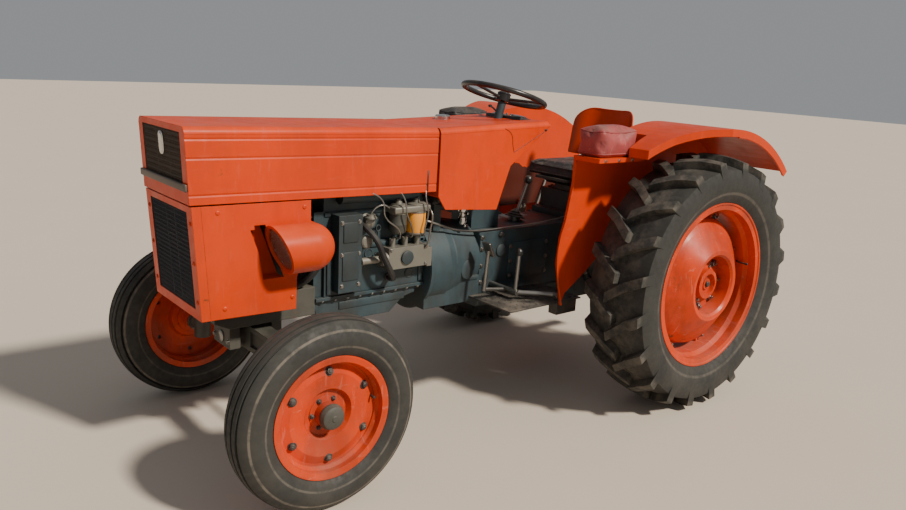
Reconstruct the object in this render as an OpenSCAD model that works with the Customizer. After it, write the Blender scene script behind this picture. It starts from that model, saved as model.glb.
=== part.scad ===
// Small farm tractor with an open engine bay. Millimetres, +Z up, the front faces -Y and the
// tractor's left side is +X. Stations along Y are measured from the rear axle's centre line,
// and set_down() moves them so that the origin lies under the middle of the whole machine.

/* [Wheels] */
// Distance between the front and the rear axle
wheelbase = 1920; // [1800:10:2050]
// Rear tyre radius to the tips of its lugs
rear_tyre_r = 606; // [580:2:630]
// Rear tyre width
rear_tyre_w = 318; // [290:2:330]
// Distance from the middle of the tractor to the middle of a rear tyre
rear_track_half = 743; // [735:1:800]
// Outer radius of the rear rim's flange
rear_rim_r = 394; // [380:1:400]
// Lugs on each half of a rear tyre
lug_count = 20; // [16:1:22]
// Height of a lug above the tyre's body
lug_h = 38; // [25:1:42]
// Thickness of a lug round the tyre
lug_t = 46; // [30:1:60]
// Front tyre radius
front_tyre_r = 355; // [340:1:365]
// Front tyre width
front_tyre_w = 164; // [150:1:175]
// Distance from the middle of the tractor to the middle of a front tyre
front_track_half = 612; // [605:1:680]
// Outer radius of the front rim's flange
front_rim_r = 226; // [220:1:230]

/* [Bodywork] */
// Outer width of the hood
hood_w = 450; // [440:2:460]
// Height of the hood's top at its rear edge
hood_rear_z = 1292; // [1285:1:1310]
// Station of the hood's rear edge
hood_rear_y = -1161; // [-1170:1:-1155]
// Length of the hood's top
hood_len = 1082; // [1060:1:1090]
// Height of the hood's sides
hood_side_h = 268; // [255:1:275]
// Thickness of the bodywork panels
sheet = 5; // [4:0.5:6]
// Fall of the hood's top towards the rear, in degrees
hood_fall = 1; // [0:0.1:1.5]
// Backward rake of the nose from its top down, in degrees
nose_rake = 3.75; // [0:0.25:4]
// Height of the nose's lower edge
nose_low_z = 618; // [600:2:640]
// Depth of the nose's front frame
nose_frame_d = 34; // [28:1:40]
// Radius of a headlight's pod
pod_r = 93; // [85:1:96]

/* [Fenders] */
// Outer radius of a fender's crown about the rear axle
fender_r = 728; // [690:2:740]
// Distance from the middle of the tractor to a fender's inner plate
fender_in_x = 450; // [430:2:470]
// Width of the flat shelf ahead of a fender's crown
fender_shelf_w = 150; // [130:2:160]
// Width of a fender's crown over the tyre
fender_w = 425; // [400:5:430]

/* [Front axle and steering] */
// Distance from the middle of the tractor to a kingpin
kingpin_x = 470; // [460:1:472]
// Radius of a kingpin
kingpin_r = 20; // [18:1:22]
// Length of the tie rod's arms on the knuckles
steer_arm_l = 150; // [130:5:160]
// Length of the drag link's arm on the right knuckle
drag_arm_l = 130; // [110:5:140]
// Length of the drop arm
drop_arm_l = 170; // [150:5:180]
// Backward lean of the steering column, in degrees
column_lean = 15.5; // [12:0.5:20]
// Outer radius of the steering wheel
steering_wheel_r = 212; // [190:1:220]

/* [Hitch] */
// Height of the lower links' front pins
lower_pin_z = 400; // [380:2:420]
// Length of a lower link between its pin and its ball
lower_link_l = 800; // [760:5:840]
// Distance from the middle of the tractor to a lower link's ball
lower_ball_x = 360; // [340:5:380]
// Length of a lift arm, which is also the lift rod's place along the lower link
lift_arm_l = 330; // [300:5:340]
// Radius of the drawbar's pin hole
drawbar_hole_r = 16.5; // [13:0.5:18]
// Radius of the PTO shaft
pto_r = 17.4; // [15:0.1:20]
// Radius of the holes in the lower links' balls
ball_hole_r = 11.2; // [9:0.1:14]
// Radius of the top link's pin hole
top_hole_r = 9.7; // [9:0.1:13]

/* [Hidden] */
$fn = 48;

// Clearances: face to face, turning on a pin, and between pieces that move past each other
gap = 0.3;
pin_gap = 0.05;
run_gap = 6;

// Colours as the photograph shows them
orange = "#e8501f";
cast_teal = "#3f5a60";
cast_grey = "#5b625e";
dark = "#25282a";
steel = "#9a9c98";
rubber = "#2b2c2b";
vinyl = "#a8404a";
cream = "#c9c2ac";
amber = "#d79a3c";

// Stations along Y and the shift that puts the origin under the middle
front_axle_y = -wheelbase;
lower_pin_y = 60;
ball_boss_r = 32;
front_end = wheelbase + front_tyre_r;
rear_end = lower_pin_y + lower_link_l + ball_boss_r;
shift_y = (front_end - rear_end) / 2;

// Station of the nose's raked face at a height, and of the front support behind it
face_top_y = hood_rear_y - hood_len;
face_top_z = hood_rear_z + hood_len * sin(hood_fall);
function face_y(z) = face_top_y + (face_top_z - z) * tan(nose_rake);
support_y0 = face_y(nose_low_z) + nose_frame_d + 44;

// Heights of the axles
front_axle_z = front_tyre_r;
rear_axle_z = rear_tyre_r;
half_w = hood_w / 2;

module set_down() translate([0, shift_y, 0]) children();
module mirrored(flip) mirror([flip ? 1 : 0, 0, 0]) children();
module both_sides() {
  children();
  mirror([1, 0, 0]) children();
}
// A solid of revolution about X, from an outline in (radius, place along X)
module about_x(sides = 96) rotate([0, 90, 0]) rotate_extrude($fn = sides) children();
module rod_x(r, l) rotate([0, 90, 0]) cylinder(r = r, h = l);
module rod_y(r, l) rotate([-90, 0, 0]) cylinder(r = r, h = l);
// A round rod between two points
module rod(a, b, r) {
  d = b - a;
  l = norm(d);
  translate(a) rotate([0, acos(d[2] / l), atan2(d[1], d[0])]) cylinder(r = r, h = l);
}
// An outline in (station, height), thickened along X from x0
module side_plate(x0, t) translate([x0, 0, 0]) rotate([90, 0, 90]) linear_extrude(t) children();
// An outline in (X, height), thickened backwards from station y0
module cross_plate(y0, t) translate([0, y0 + t, 0]) rotate([90, 0, 0]) linear_extrude(t) children();
function arc(c, r, a0, a1, n) =
  [for (i = [0 : n]) let (a = a0 + (a1 - a0) * i / n) c + r * [cos(a), sin(a)]];

// Tyres

// Carcass of a rear tyre: sidewalls and crown as arcs, with a step for the rim's flange
rear_bead_r = rear_rim_r - 28;
carcass_r = rear_tyre_r - lug_h;
rear_crown_r = 520;
side_mid_r = rear_tyre_r - 116;
flange_half = rear_tyre_w / 2 - 41;
module rear_carcass_outline() intersection() {
  translate([side_mid_r, 0]) circle(r = rear_tyre_w / 2, $fn = 96);
  translate([carcass_r - rear_crown_r, 0]) circle(r = rear_crown_r, $fn = 360);
  union() {
    translate([rear_rim_r + 2, -rear_tyre_w]) square([rear_tyre_r, 2 * rear_tyre_w]);
    translate([rear_bead_r, gap - flange_half]) square([100, 2 * (flange_half - gap)]);
  }
}
// Ring that limits the lugs: past the centre line inside, over the shoulder outside
lug_in = -20;
lug_root_r = side_mid_r + 22;
module lug_ring_outline() intersection() {
  translate([rear_tyre_r - rear_crown_r, 0]) circle(r = rear_crown_r, $fn = 360);
  polygon([
    [lug_root_r + 30, lug_in], [rear_tyre_r + 5, lug_in],
    [rear_tyre_r + 5, rear_tyre_w / 2 - 9], [rear_tyre_r - 22, rear_tyre_w / 2 - 8],
    [lug_root_r, rear_tyre_w / 2 - 1], [lug_root_r, rear_tyre_w / 2 - 20]
  ]);
}
// Centre line of a lug: across the tyre, and back round it
lug_line = [[-30, -12], [70, 62], [175, 112]];
module lug_bar() linear_extrude(rear_tyre_r - lug_root_r + 40) polygon(concat(
  [for (p = lug_line) [p[0], p[1] - lug_t / 2]],
  [for (i = [len(lug_line) - 1 : -1 : 0]) [lug_line[i][0], lug_line[i][1] + lug_t / 2]]));
module lug_half() intersection() {
  about_x(120) lug_ring_outline();
  for (i = [0 : lug_count - 1])
    rotate([360 * i / lug_count, 0, 0]) translate([0, 0, lug_root_r - 30]) lug_bar();
}
module rear_tyre() color(rubber) {
  about_x(120) rear_carcass_outline();
  lug_half();
  rotate([180 / lug_count, 0, 0]) mirror([1, 0, 0]) lug_half();
}

// Front tyre: round shoulders, three broad ribs and two rings on each shoulder
front_bead_r = front_rim_r - 20;
front_side_mid_r = front_tyre_r - 74;
front_crown_r = 190;
front_flange_half = front_tyre_w / 2 - 26;
groove_w = 9;
module front_tyre() color(rubber) about_x(96) difference() {
  intersection() {
    translate([front_side_mid_r, 0]) circle(r = front_tyre_w / 2, $fn = 72);
    translate([front_tyre_r - front_crown_r, 0]) circle(r = front_crown_r, $fn = 180);
    union() {
      translate([front_rim_r + 2, -front_tyre_w]) square([front_tyre_r, 2 * front_tyre_w]);
      translate([front_bead_r, gap - front_flange_half]) square([60, 2 * (front_flange_half - gap)]);
    }
  }
  for (s = [-1, 1], x = [18, 44])
    translate([front_tyre_r - 11, s * x - groove_w / 2]) square([30, groove_w]);
  for (s = [-1, 1]) translate([front_tyre_r - 32, s * 73 - 2]) square([8, 20]);
}

// Wheels, with +X outwards

// Rim channel from a table of (radius, place along the axle) of its outer and inner face
rear_channel = [[351, 0], [351, 60], [rear_bead_r - 0.4, 82], [rear_bead_r - 0.4, 118],
  [rear_rim_r - 6, 118], [rear_rim_r, 123], [rear_rim_r, 130], [rear_rim_r - 8, 130],
  [rear_rim_r - 12, 125], [rear_bead_r - 6, 124], [rear_bead_r - 6, 86], [345, 66], [345, 0]];
module mirrored_outline(half) polygon(concat(half,
  [for (i = [len(half) - 1 : -1 : 0]) [half[i][0], -half[i][1]]]));
rear_shaft_r = 34;
// Faces from the middle of the tyre outwards: the axle's trumpet, the hub's back, the recess's floor
trumpet_face_x = -46;
hub_back_x = 24;
hub_floor_x = 58;
hub_bolt_r = 118;
clip_count = 8;
module rear_wheel() color(orange) difference() {
  union() {
    about_x(96) mirrored_outline(rear_channel);
    // Disc, dished outwards to a ring round the hub's recess
    about_x(96) polygon([[0, hub_floor_x - 14], [144, hub_floor_x - 14], [151, 120], [160, 128], [261, 58],
      [290, 33], [304, 2], [316, 2], [303, 40], [268, 68], [168, 138], [150, 136], [139, 126],
      [132, hub_floor_x], [0, hub_floor_x]]);
    // Hub with its collar and cap
    about_x(64) polygon([[0, hub_back_x], [105, hub_back_x], [105, hub_floor_x - 2], [92, hub_floor_x - 1],
      [92, 72], [74, 76], [70, 100], [50, 104], [46, 84], [28, 84], [26, 94], [0, 94]]);
    for (i = [0 : clip_count - 1]) rotate([360 * (i + 0.5) / clip_count, 0, 0])
      translate([-4, -32, 300]) cube([14, 64, 50]);
    // Drive shaft into the axle's trumpet
    translate([trumpet_face_x - 64, 0, 0]) rod_x(rear_shaft_r, hub_back_x + 10 - trumpet_face_x + 64);
  }
  for (i = [0 : 7]) rotate([45 * i, 0, 0]) translate([hub_floor_x - 30, 0, hub_bolt_r]) rod_x(8, 60);
}

front_channel = [[196, 0], [196, 22], [front_bead_r - 0.4, 34], [front_bead_r - 0.4, 56],
  [front_rim_r - 4, 56], [front_rim_r, 60], [front_rim_r, 64], [front_rim_r - 6, 64],
  [front_bead_r - 5, 61], [front_bead_r - 5, 38], [191, 25], [191, 0]];
stub_r = 22;
stub_end_x = 38;
module front_wheel() color(orange) difference() {
  union() {
    about_x(96) mirrored_outline(front_channel);
    about_x(96) polygon([[60, -6], [88, -6], [98, 14], [150, 22], [180, 12], [194, 12], [194, 20],
      [182, 20], [152, 31], [94, 24], [82, 4], [60, 4]]);
    about_x(64) polygon([[0, -62], [44, -62], [44, -20], [64, -16], [64, 6], [46, 10], [44, 50],
      [38, 58], [0, 58]]);
  }
  translate([-70, 0, 0]) rod_x(stub_r + pin_gap, 70 + stub_end_x + 2);
  for (i = [0 : 5]) rotate([60 * i, 0, 0]) translate([0, 0, 162]) rod_x(9, 60);
}

module rear_wheel_place(flip) set_down() mirrored(flip)
  translate([rear_track_half, 0, rear_axle_z]) children();
module front_wheel_place(flip) set_down() mirrored(flip)
  translate([front_track_half, front_axle_y, front_axle_z]) children();
module rear_tyre_left() rear_wheel_place(false) rear_tyre();
module rear_tyre_right() rear_wheel_place(true) rear_tyre();
module rear_wheel_left() rear_wheel_place(false) rear_wheel();
module rear_wheel_right() rear_wheel_place(true) rear_wheel();
module front_tyre_left() front_wheel_place(false) front_tyre();
module front_tyre_right() front_wheel_place(true) front_tyre();
module front_wheel_left() front_wheel_place(false) front_wheel();
module front_wheel_right() front_wheel_place(true) front_wheel();

// Front axle and steering

boss_r = 34;
boss_z0 = 422;
boss_z1 = 522;
pivot_z = 470;
pivot_r = 26;
arm_z = boss_z1 + run_gap;
arm_t = 22;
arm_top_z = arm_z + arm_t;
beam_w = 70;
module front_axle() color(cast_grey) set_down() translate([0, front_axle_y, 0]) difference() {
  union() {
    // Tapered I-shaped beam
    cross_plate(-beam_w / 2, beam_w) polygon([
      [-kingpin_x, boss_z0 + 8], [-kingpin_x, boss_z1 - 8], [-120, pivot_z + 52], [120, pivot_z + 52],
      [kingpin_x, boss_z1 - 8], [kingpin_x, boss_z0 + 8], [120, pivot_z - 52], [-120, pivot_z - 52]]);
    for (s = [-1, 1]) translate([s * kingpin_x, 0, boss_z0]) cylinder(r = boss_r, h = boss_z1 - boss_z0);
    translate([0, -axle_boss_half, pivot_z]) rod_y(58, 2 * axle_boss_half);
  }
  // Flanks of the I
  for (s = [-1, 1], f = [0, 1]) mirrored(f == 1)
    translate([0, s * 23, 0]) cross_plate(s > 0 ? 0 : -30, 30) polygon([
      [95, pivot_z - 32], [95, pivot_z + 32], [kingpin_x - 55, boss_z1 - 28],
      [kingpin_x - 55, boss_z0 + 28]]);
  for (s = [-1, 1]) translate([s * kingpin_x, 0, boss_z0 - 1]) cylinder(r = kingpin_r + pin_gap, h = 200);
  translate([0, -70, pivot_z]) rod_y(pivot_r, 140);
}

// Knuckle of the left wheel: stub axle, kingpin and the arm of the tie rod
tie_z = 388;
tie_arm_t = 20;
tie_eye_r = 22;
ball_r = 9;
knuckle_top = boss_z0 - run_gap;
module knuckle_base() {
  translate([kingpin_x, front_axle_y, 0]) {
    translate([0, 0, front_axle_z - 50]) cylinder(r = 36, h = knuckle_top - front_axle_z + 50);
    translate([0, 0, front_axle_z]) cylinder(r = kingpin_r, h = arm_z + 8 - front_axle_z);
    translate([0, 0, front_axle_z]) rod_x(30, front_track_half - kingpin_x - 70);
    translate([0, 0, front_axle_z]) rod_x(stub_r, front_track_half - kingpin_x + stub_end_x);
    // Arm of the tie rod, pointing back
    translate([0, 0, tie_z - tie_arm_t / 2]) linear_extrude(tie_arm_t) union() {
      translate([-17, 0]) square([34, steer_arm_l]);
      translate([0, steer_arm_l]) circle(r = tie_eye_r);
    }
    // Ball pin under the tie rod's eye
    translate([0, steer_arm_l, tie_z + tie_arm_t / 2 - 2]) cylinder(r = ball_r, h = 27);
  }
}
module knuckle_left() color(cast_grey) set_down() {
  knuckle_base();
  translate([kingpin_x, front_axle_y, arm_z]) cylinder(r = boss_r, h = arm_t);
}
// Knuckle of the right wheel, which also carries the arm of the drag link
module knuckle_right() color(cast_grey) set_down() mirror([1, 0, 0]) {
  knuckle_base();
  translate([kingpin_x, front_axle_y, arm_z]) {
    cylinder(r = boss_r, h = arm_t);
    translate([-drag_arm_l, -16, 0]) cube([drag_arm_l, 32, arm_t]);
    translate([-drag_arm_l, 0, 0]) cylinder(r = tie_eye_r, h = arm_t);
  }
}
rod_end_gap = 1;
tie_rod_z = tie_z + tie_arm_t / 2 + rod_end_gap + 12;
module tie_rod() color(steel) set_down() difference() {
  union() {
    translate([-kingpin_x, front_axle_y + steer_arm_l, tie_rod_z]) rod_x(13, 2 * kingpin_x);
    for (s = [-1, 1]) translate([s * kingpin_x, front_axle_y + steer_arm_l, tie_rod_z - 12])
      cylinder(r = 21, h = 26);
    for (s = [-1, 1]) translate([s * (kingpin_x - 70) - 35, front_axle_y + steer_arm_l, tie_rod_z])
      rod_x(17, 70);
  }
  for (s = [-1, 1]) translate([s * kingpin_x, front_axle_y + steer_arm_l, tie_rod_z - 13])
    cylinder(r = ball_r + pin_gap, h = 40);
}

// Steering box on the gearbox, with the drop arm on its right
box_y = -745;
box_z = 798;
drop_z = 862;
link_x = kingpin_x - drag_arm_l;
drop_x0 = link_x - 38;
drop_t = 18;
link_rear_z = drop_z - drop_arm_l;
link_front_z = arm_top_z + rod_end_gap + 14;
module drop_arm() color(cast_grey) set_down() mirror([1, 0, 0]) {
  side_plate(drop_x0, drop_t) union() {
    translate([box_y, drop_z]) circle(r = 30);
    translate([box_y, link_rear_z]) circle(r = 21);
    translate([box_y - 15, link_rear_z]) square([30, drop_arm_l]);
  }
  translate([drop_x0 - 24, box_y, drop_z]) rod_x(16, 30);
  translate([drop_x0 + drop_t - 1, box_y, link_rear_z]) rod_x(ball_r, 32);
}
module drag_link() color(steel) set_down() mirror([1, 0, 0]) difference() {
  union() {
    rod([link_x, front_axle_y, link_front_z], [link_x, box_y, link_rear_z], 13);
    translate([link_x, front_axle_y, link_front_z - 14]) cylinder(r = 22, h = 28);
    translate([drop_x0 + drop_t + rod_end_gap, box_y, link_rear_z]) rod_x(22, 36);
  }
  translate([drop_x0 + drop_t, box_y, link_rear_z]) rod_x(ball_r + pin_gap, 32);
}
column_base = [0, box_y, box_z + 110];
column_l = 530;
wheel_centre = column_base + column_l * [0, sin(column_lean), cos(column_lean)];
module steering_box() color(cast_teal) set_down() difference() {
  union() {
    translate([-75, box_y - 85, box_z + gap]) cube([150, 170, 112]);
    mirror([1, 0, 0]) translate([0, box_y, drop_z]) rod_x(34, drop_x0 - 12);
    translate(column_base - [0, 5, 20]) rotate([-column_lean, 0, 0]) cylinder(r = 34, h = 60);
    translate(column_base) rotate([-column_lean, 0, 0]) cylinder(r = 20, h = column_l - 34);
  }
  mirror([1, 0, 0]) translate([drop_x0 - 26, box_y, drop_z]) rod_x(16 + pin_gap, 40);
  translate(wheel_centre) rotate([-column_lean, 0, 0]) translate([0, 0, -80])
    cylinder(r = 9 + pin_gap, h = 80);
}
spoke_count = 3;
module steering_wheel() color(dark) set_down() translate(wheel_centre) rotate([-column_lean, 0, 0]) {
  rotate_extrude($fn = 72) translate([steering_wheel_r - 13, 0]) circle(r = 13, $fn = 24);
  translate([0, 0, -30]) cylinder(r = 32, h = 34);
  translate([0, 0, -78]) cylinder(r = 9, h = 60);
  for (i = [0 : spoke_count - 1]) rotate([0, 0, 120 * i + 30])
    rod([20, 0, -16], [steering_wheel_r - 14, 0, 0], 7);
}

// Engine

crank_z = 665;
block_y0 = -1660;
block_y1 = -1162;
block_z0 = 610;
block_top = 960;
module engine_block() color(cast_teal) set_down() {
  translate([-150, block_y0, block_z0]) cube([300, block_y1 - block_y0, 210]);
  translate([-128, block_y0, block_z0 + 200]) cube([256, block_y1 - block_y0, block_top - block_z0 - 200]);
  // Housing of the pump's drive on the left
  translate([120, drive_y0, block_z0 + 20]) cube([drive_x - 120, drive_y1 - drive_y0, 320]);
}
drive_y0 = block_y0 + 39;
drive_y1 = block_y0 + 149;
drive_x = 196;
pump_x = 188;
pump_y0 = -1390;
pump_l = 205;
pump_z0 = 704;
sump_z = 492;
module oil_sump() color(cast_teal) set_down() {
  translate([-158, block_y0 - 40, block_z0 - gap - 14]) cube([316, 538, 14]);
  side_plate(-140, 280) polygon([[block_y0 - 40, block_z0 - 10], [block_y0 - 30, sump_z + 40],
    [block_y0 + 20, sump_z], [-1330, sump_z], [-1262, block_z0 - 60], [-1200, block_z0 - 45],
    [-1190, block_z0 - 10]]);
}
module cylinder_head() color(cast_teal) set_down() {
  translate([-132, block_y0 + 5, block_top + gap]) cube([264, 488, 90]);
  translate([-70, block_y0 + 30, block_top + 85]) cube([140, 440, 75]);
  // Intake trunk on the left
  for (i = [0 : 2]) translate([100, block_y0 + 90 + 155 * i, block_top + 60]) rod_x(26, 62);
  translate([158, block_y0 + 60, block_top + 60]) rod_y(30, 380);
}
module timing_case() color(cast_teal) set_down() {
  translate([-135, block_y0 - 40 - gap, block_z0 + gap]) cube([270, 40, 350]);
  // Crankshaft pulley on its shaft
  translate([0, block_y0 - 78, crank_z]) rod_y(80, 32);
  translate([0, block_y0 - 84, crank_z]) rod_y(30, 50);
  // Water pump on the case's front, with the fan's shaft
  translate([0, block_y0 - 74, fan_z]) rod_y(52, 40);
  translate([0, block_y0 - 112, fan_z]) rod_y(20, 75);
}
fan_z = 960;
module cooling_fan() color(dark) set_down() translate([0, block_y0 - 142, fan_z]) {
  rod_y(46, 29.5);
  for (i = [0 : 5]) rotate([0, 60 * i, 0]) translate([-28, 4, 30]) rotate([0, 0, 22]) cube([56, 4, 150]);
}
dynamo_x = 200;
dynamo_z = 752;
module dynamo_and_starter() color(dark) set_down() {
  // Dynamo on the right, with its pulley in the belt's plane
  translate([-dynamo_x, block_y0 - 38, dynamo_z]) rod_y(44, 166);
  translate([-dynamo_x, block_y0 - 78, dynamo_z]) rod_y(34, 32);
  translate([-dynamo_x, block_y0 - 82, dynamo_z]) rod_y(12, 50);
  translate([-150 - gap, block_y0 + 20, dynamo_z - 14]) mirror([1, 0, 0]) cube([20, 80, 28]);
  // Starter on the right, ahead of the clutch housing
  translate([-204, -1390, 690]) rod_y(46, 228);
  translate([-150 - gap, -1340, 670]) mirror([1, 0, 0]) cube([30, 60, 40]);
}
module injection_pump() color(cream) set_down() {
  translate([150 + gap, pump_y0, pump_z0]) cube([66, pump_l, 92]);
  // Outlets of the three elements
  for (i = [0 : 2]) translate([pump_x - 8, pump_y0 + 38 + 64 * i, pump_z0 + 88]) cylinder(r = 13, h = 38);
  // Governor behind, and the drive's coupling and shaft in front
  translate([150 + gap, pump_y0 + pump_l - 4, pump_z0 - 8]) cube([60, block_y1 - pump_y0 - pump_l + 3, 84]);
  translate([pump_x, pump_y0 - 34, pump_z0 + 46]) rod_y(30, 36);
  translate([pump_x, drive_y1 + gap, pump_z0 + 46]) rod_y(15, pump_y0 - drive_y1);
}
module fuel_filters() set_down() {
  color(cast_grey) translate([134, -1370, 938]) cube([86, 186, 30]);
  color(cast_grey) translate([128 + gap, -1340, 940]) cube([20, 120, 18]);
  // Bowls by station, radius and height of the lower end
  color(amber) for (b = [[-1324, 38, 846], [-1232, 45, 842]])
    translate([176, b[0], b[2]]) cylinder(r = b[1], h = 940 - b[2]);
}
silencer_x = 242;
silencer_z = 432;
module exhaust() color("#6b4a3a") set_down() mirror([1, 0, 0]) {
  for (i = [0 : 2]) translate([132 + gap, block_y0 + 90 + 155 * i, 1000]) rod_x(24, 50);
  translate([182, block_y0 + 55, 1000]) rod_y(32, 400);
  rod([184, -1430, 1000], [236, -1430, 640], 23);
  rod([236, -1430, 650], [silencer_x, -1390, 445], 23);
  rod([silencer_x, -1393, 450], [silencer_x, -940, silencer_z], 23);
  translate([silencer_x, -960, silencer_z]) rod_y(46, 320);
  rod([silencer_x, -660, silencer_z], [silencer_x, -520, silencer_z - 12], 20);
}
module radiator() color(dark) set_down() {
  translate([-158, -1902, 672]) cube([316, 70, 470]);
  translate([-190, -1910, 1140]) cube([380, 86, 62]);
  translate([-190, -1910, 660 + gap]) cube([380, 86, 30]);
  translate([0, -1868, 1195]) cylinder(r = 30, h = 40);
}
axle_boss_half = 60;
support_end = block_y0 - 40 - 2 * gap;
module front_support() color(cast_grey) set_down() difference() {
  union() {
    side_plate(-150, 300) polygon([[support_y0, 640], [support_y0, 575], [support_y0 + 60, 545],
      [support_end, 545], [support_end, 660], [support_y0 + 20, 660]]);
    // Legs that hold the axle's centre pin
    for (s = [-1, 1]) translate([-75, front_axle_y + s * (axle_boss_half + run_gap + 22) - 22, pivot_z - 38])
      cube([150, 44, 120]);
    // Brackets of the side panels
    for (f = [0, 1]) mirrored(f == 1) translate([145, support_y0 + 40, nose_low_z])
      cube([half_w - sheet - gap - 145, 40, 34]);
    // Centre pin
    translate([0, front_axle_y - 90, pivot_z]) rod_y(pivot_r - pin_gap, 180);
  }
  // Room for the crankshaft pulley
  translate([-98, -1760, 500]) cube([196, 100, 200]);
}

// Driveline

module clutch_housing() color(cast_teal) set_down() {
  translate([0, block_y1 + gap, crank_z]) rod_y(208, 120);
  translate([0, -1042, crank_z]) rotate([-90, 0, 0]) cylinder(r1 = 205, r2 = 165, h = 202);
  translate([-165, block_y1 + gap, 480]) cube([330, 320, 120]);
  // Posts and cross beam that carry the cowl
  for (s = [-1, 1]) translate([s * 120 - 12, -1100, 800]) cube([24, 40, 155]);
  translate([gap + sheet - half_w, -1100, 950]) cube([hood_w - 2 * sheet - 2 * gap, 40, 12]);
}
module gearbox() color(cast_teal) set_down() {
  translate([-150, -840 + gap, 440]) cube([300, 640, 357.7]);
}
trumpet_end = rear_track_half + trumpet_face_x;
module rear_axle() color(cast_teal) set_down() difference() {
  union() {
    translate([-190, -200 + 2 * gap, 400]) cube([380, 400, 396]);
    for (f = [0, 1]) mirrored(f == 1) {
      translate([180, 0, rear_axle_z]) rotate([0, 90, 0]) cylinder(r1 = 150, r2 = 82, h = 120);
      translate([290, 0, rear_axle_z]) rotate([0, 90, 0]) cylinder(r1 = 78, r2 = 62, h = trumpet_end - 290);
      translate([trumpet_end - 30, 0, rear_axle_z]) rod_x(84, 30);
      // Front pin of the lower link
      translate([180, lower_pin_y, lower_pin_z]) rod_x(38, 65);
      translate([240, lower_pin_y, lower_pin_z]) rod_x(12, 66);
    }
  }
  for (f = [0, 1]) mirrored(f == 1)
    translate([trumpet_end - 80, 0, rear_axle_z]) rod_x(rear_shaft_r + pin_gap, 90);
  translate([0, pto_y0 - 10, pto_z]) rod_y(pto_collar_r + pin_gap, 120);
}
pto_z = 560;
pto_y0 = 150;
pto_collar_r = 25;
module pto_shaft() color(steel) set_down() translate([0, pto_y0, pto_z]) {
  rod_y(pto_collar_r, 62);
  rod_y(pto_r, 170);
}
lift_pivot_y = 100;
lift_pivot_z = 880;
lift_shaft_x = 225;
module lift_housing() color(cast_teal) set_down() difference() {
  union() {
    translate([-170, -190, 796 + gap]) cube([340, 385, 30]);
    translate([-150, -150, 820]) cube([300, 330, 110]);
    translate([-lift_shaft_x, lift_pivot_y, lift_pivot_z]) rod_x(46, 2 * lift_shaft_x);
    for (s = [-1, 1]) translate([s * 32 - 10, 170, 800]) cube([20, 85, 70]);
  }
  for (f = [0, 1]) mirrored(f == 1)
    translate([lift_shaft_x - 60, lift_pivot_y, lift_pivot_z]) rod_x(26 + pin_gap, 70);
  translate([-60, 226, 836]) rod_x(top_hole_r, 120);
}

// Hitch: the lower links, lift rods and lift arms form a parallelogram on each side

link_pin_x = 272;
link_t = 22;
ball_y = lower_pin_y + lower_link_l;
rod_y_station = lower_pin_y + lift_arm_l;
splay = atan2(lower_ball_x - link_pin_x - link_t / 2, lower_link_l);
link_at_rod_x = link_pin_x + link_t / 2 + lift_arm_l * tan(splay);
module lower_links() color(cast_grey) set_down() both_sides() difference() {
  union() {
    translate([link_pin_x + link_t / 2, lower_pin_y, lower_pin_z]) rotate([0, 0, -splay])
      side_plate(-link_t / 2, link_t) polygon([[0, -26], [lift_arm_l, -34], [lower_link_l, -24],
        [lower_link_l, 24], [lift_arm_l, 34], [0, 26]]);
    translate([link_pin_x, lower_pin_y, lower_pin_z]) rod_x(ball_boss_r, link_t);
    translate([lower_ball_x - 20, ball_y, lower_pin_z]) rod_x(ball_boss_r, 40);
    // Pin of the lift rod
    translate([link_at_rod_x - 50, rod_y_station, lower_pin_z]) rod_x(10, 50);
  }
  translate([link_pin_x - 20, lower_pin_y, lower_pin_z]) rod_x(12 + pin_gap, 70);
  translate([lower_ball_x - 40, ball_y, lower_pin_z]) rod_x(ball_hole_r, 80);
}
arm_x0 = lift_shaft_x + run_gap;
lift_arm_t = 24;
lift_rod_x = link_at_rod_x - link_t / 2 - 5 - 22;
module lift_arms() color(cast_grey) set_down() both_sides() {
  side_plate(arm_x0, lift_arm_t) union() {
    translate([lift_pivot_y, lift_pivot_z]) circle(r = 44);
    translate([lift_pivot_y + lift_arm_l, lift_pivot_z]) circle(r = 24);
    translate([lift_pivot_y, lift_pivot_z - 22]) square([lift_arm_l, 44]);
  }
  translate([lift_shaft_x - 55, lift_pivot_y, lift_pivot_z]) rod_x(26, 70);
  translate([arm_x0, lift_pivot_y + lift_arm_l, lift_pivot_z]) rod_x(10, lift_arm_t + 30);
}
module lift_rods() color(steel) set_down() both_sides() difference() {
  union() {
    translate([lift_rod_x, lift_pivot_y + lift_arm_l, lift_pivot_z]) rod_x(22, 22);
    translate([lift_rod_x, rod_y_station, lower_pin_z]) rod_x(22, 22);
    rod([lift_rod_x + 11, lift_pivot_y + lift_arm_l, lift_pivot_z],
      [lift_rod_x + 11, rod_y_station, lower_pin_z], 9);
  }
  translate([lift_rod_x - 5, lift_pivot_y + lift_arm_l, lift_pivot_z]) rod_x(10 + pin_gap, 40);
  translate([lift_rod_x - 5, rod_y_station, lower_pin_z]) rod_x(10 + pin_gap, 40);
}
drawbar_z = 372;
drawbar_end = 470;
module drawbar() color(cast_grey) set_down() difference() {
  union() {
    translate([-32, -150, drawbar_z - 14]) cube([64, drawbar_end + 150, 28]);
    translate([0, drawbar_end, drawbar_z - 14]) cylinder(r = 32, h = 28);
    translate([-120, 130, drawbar_z + 14]) cube([240, 40, 14 - gap]);
  }
  translate([0, drawbar_end, drawbar_z - 20]) cylinder(r = drawbar_hole_r, h = 40);
}

// Hood: a lid in its own frame, hinged at its rear top edge

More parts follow.
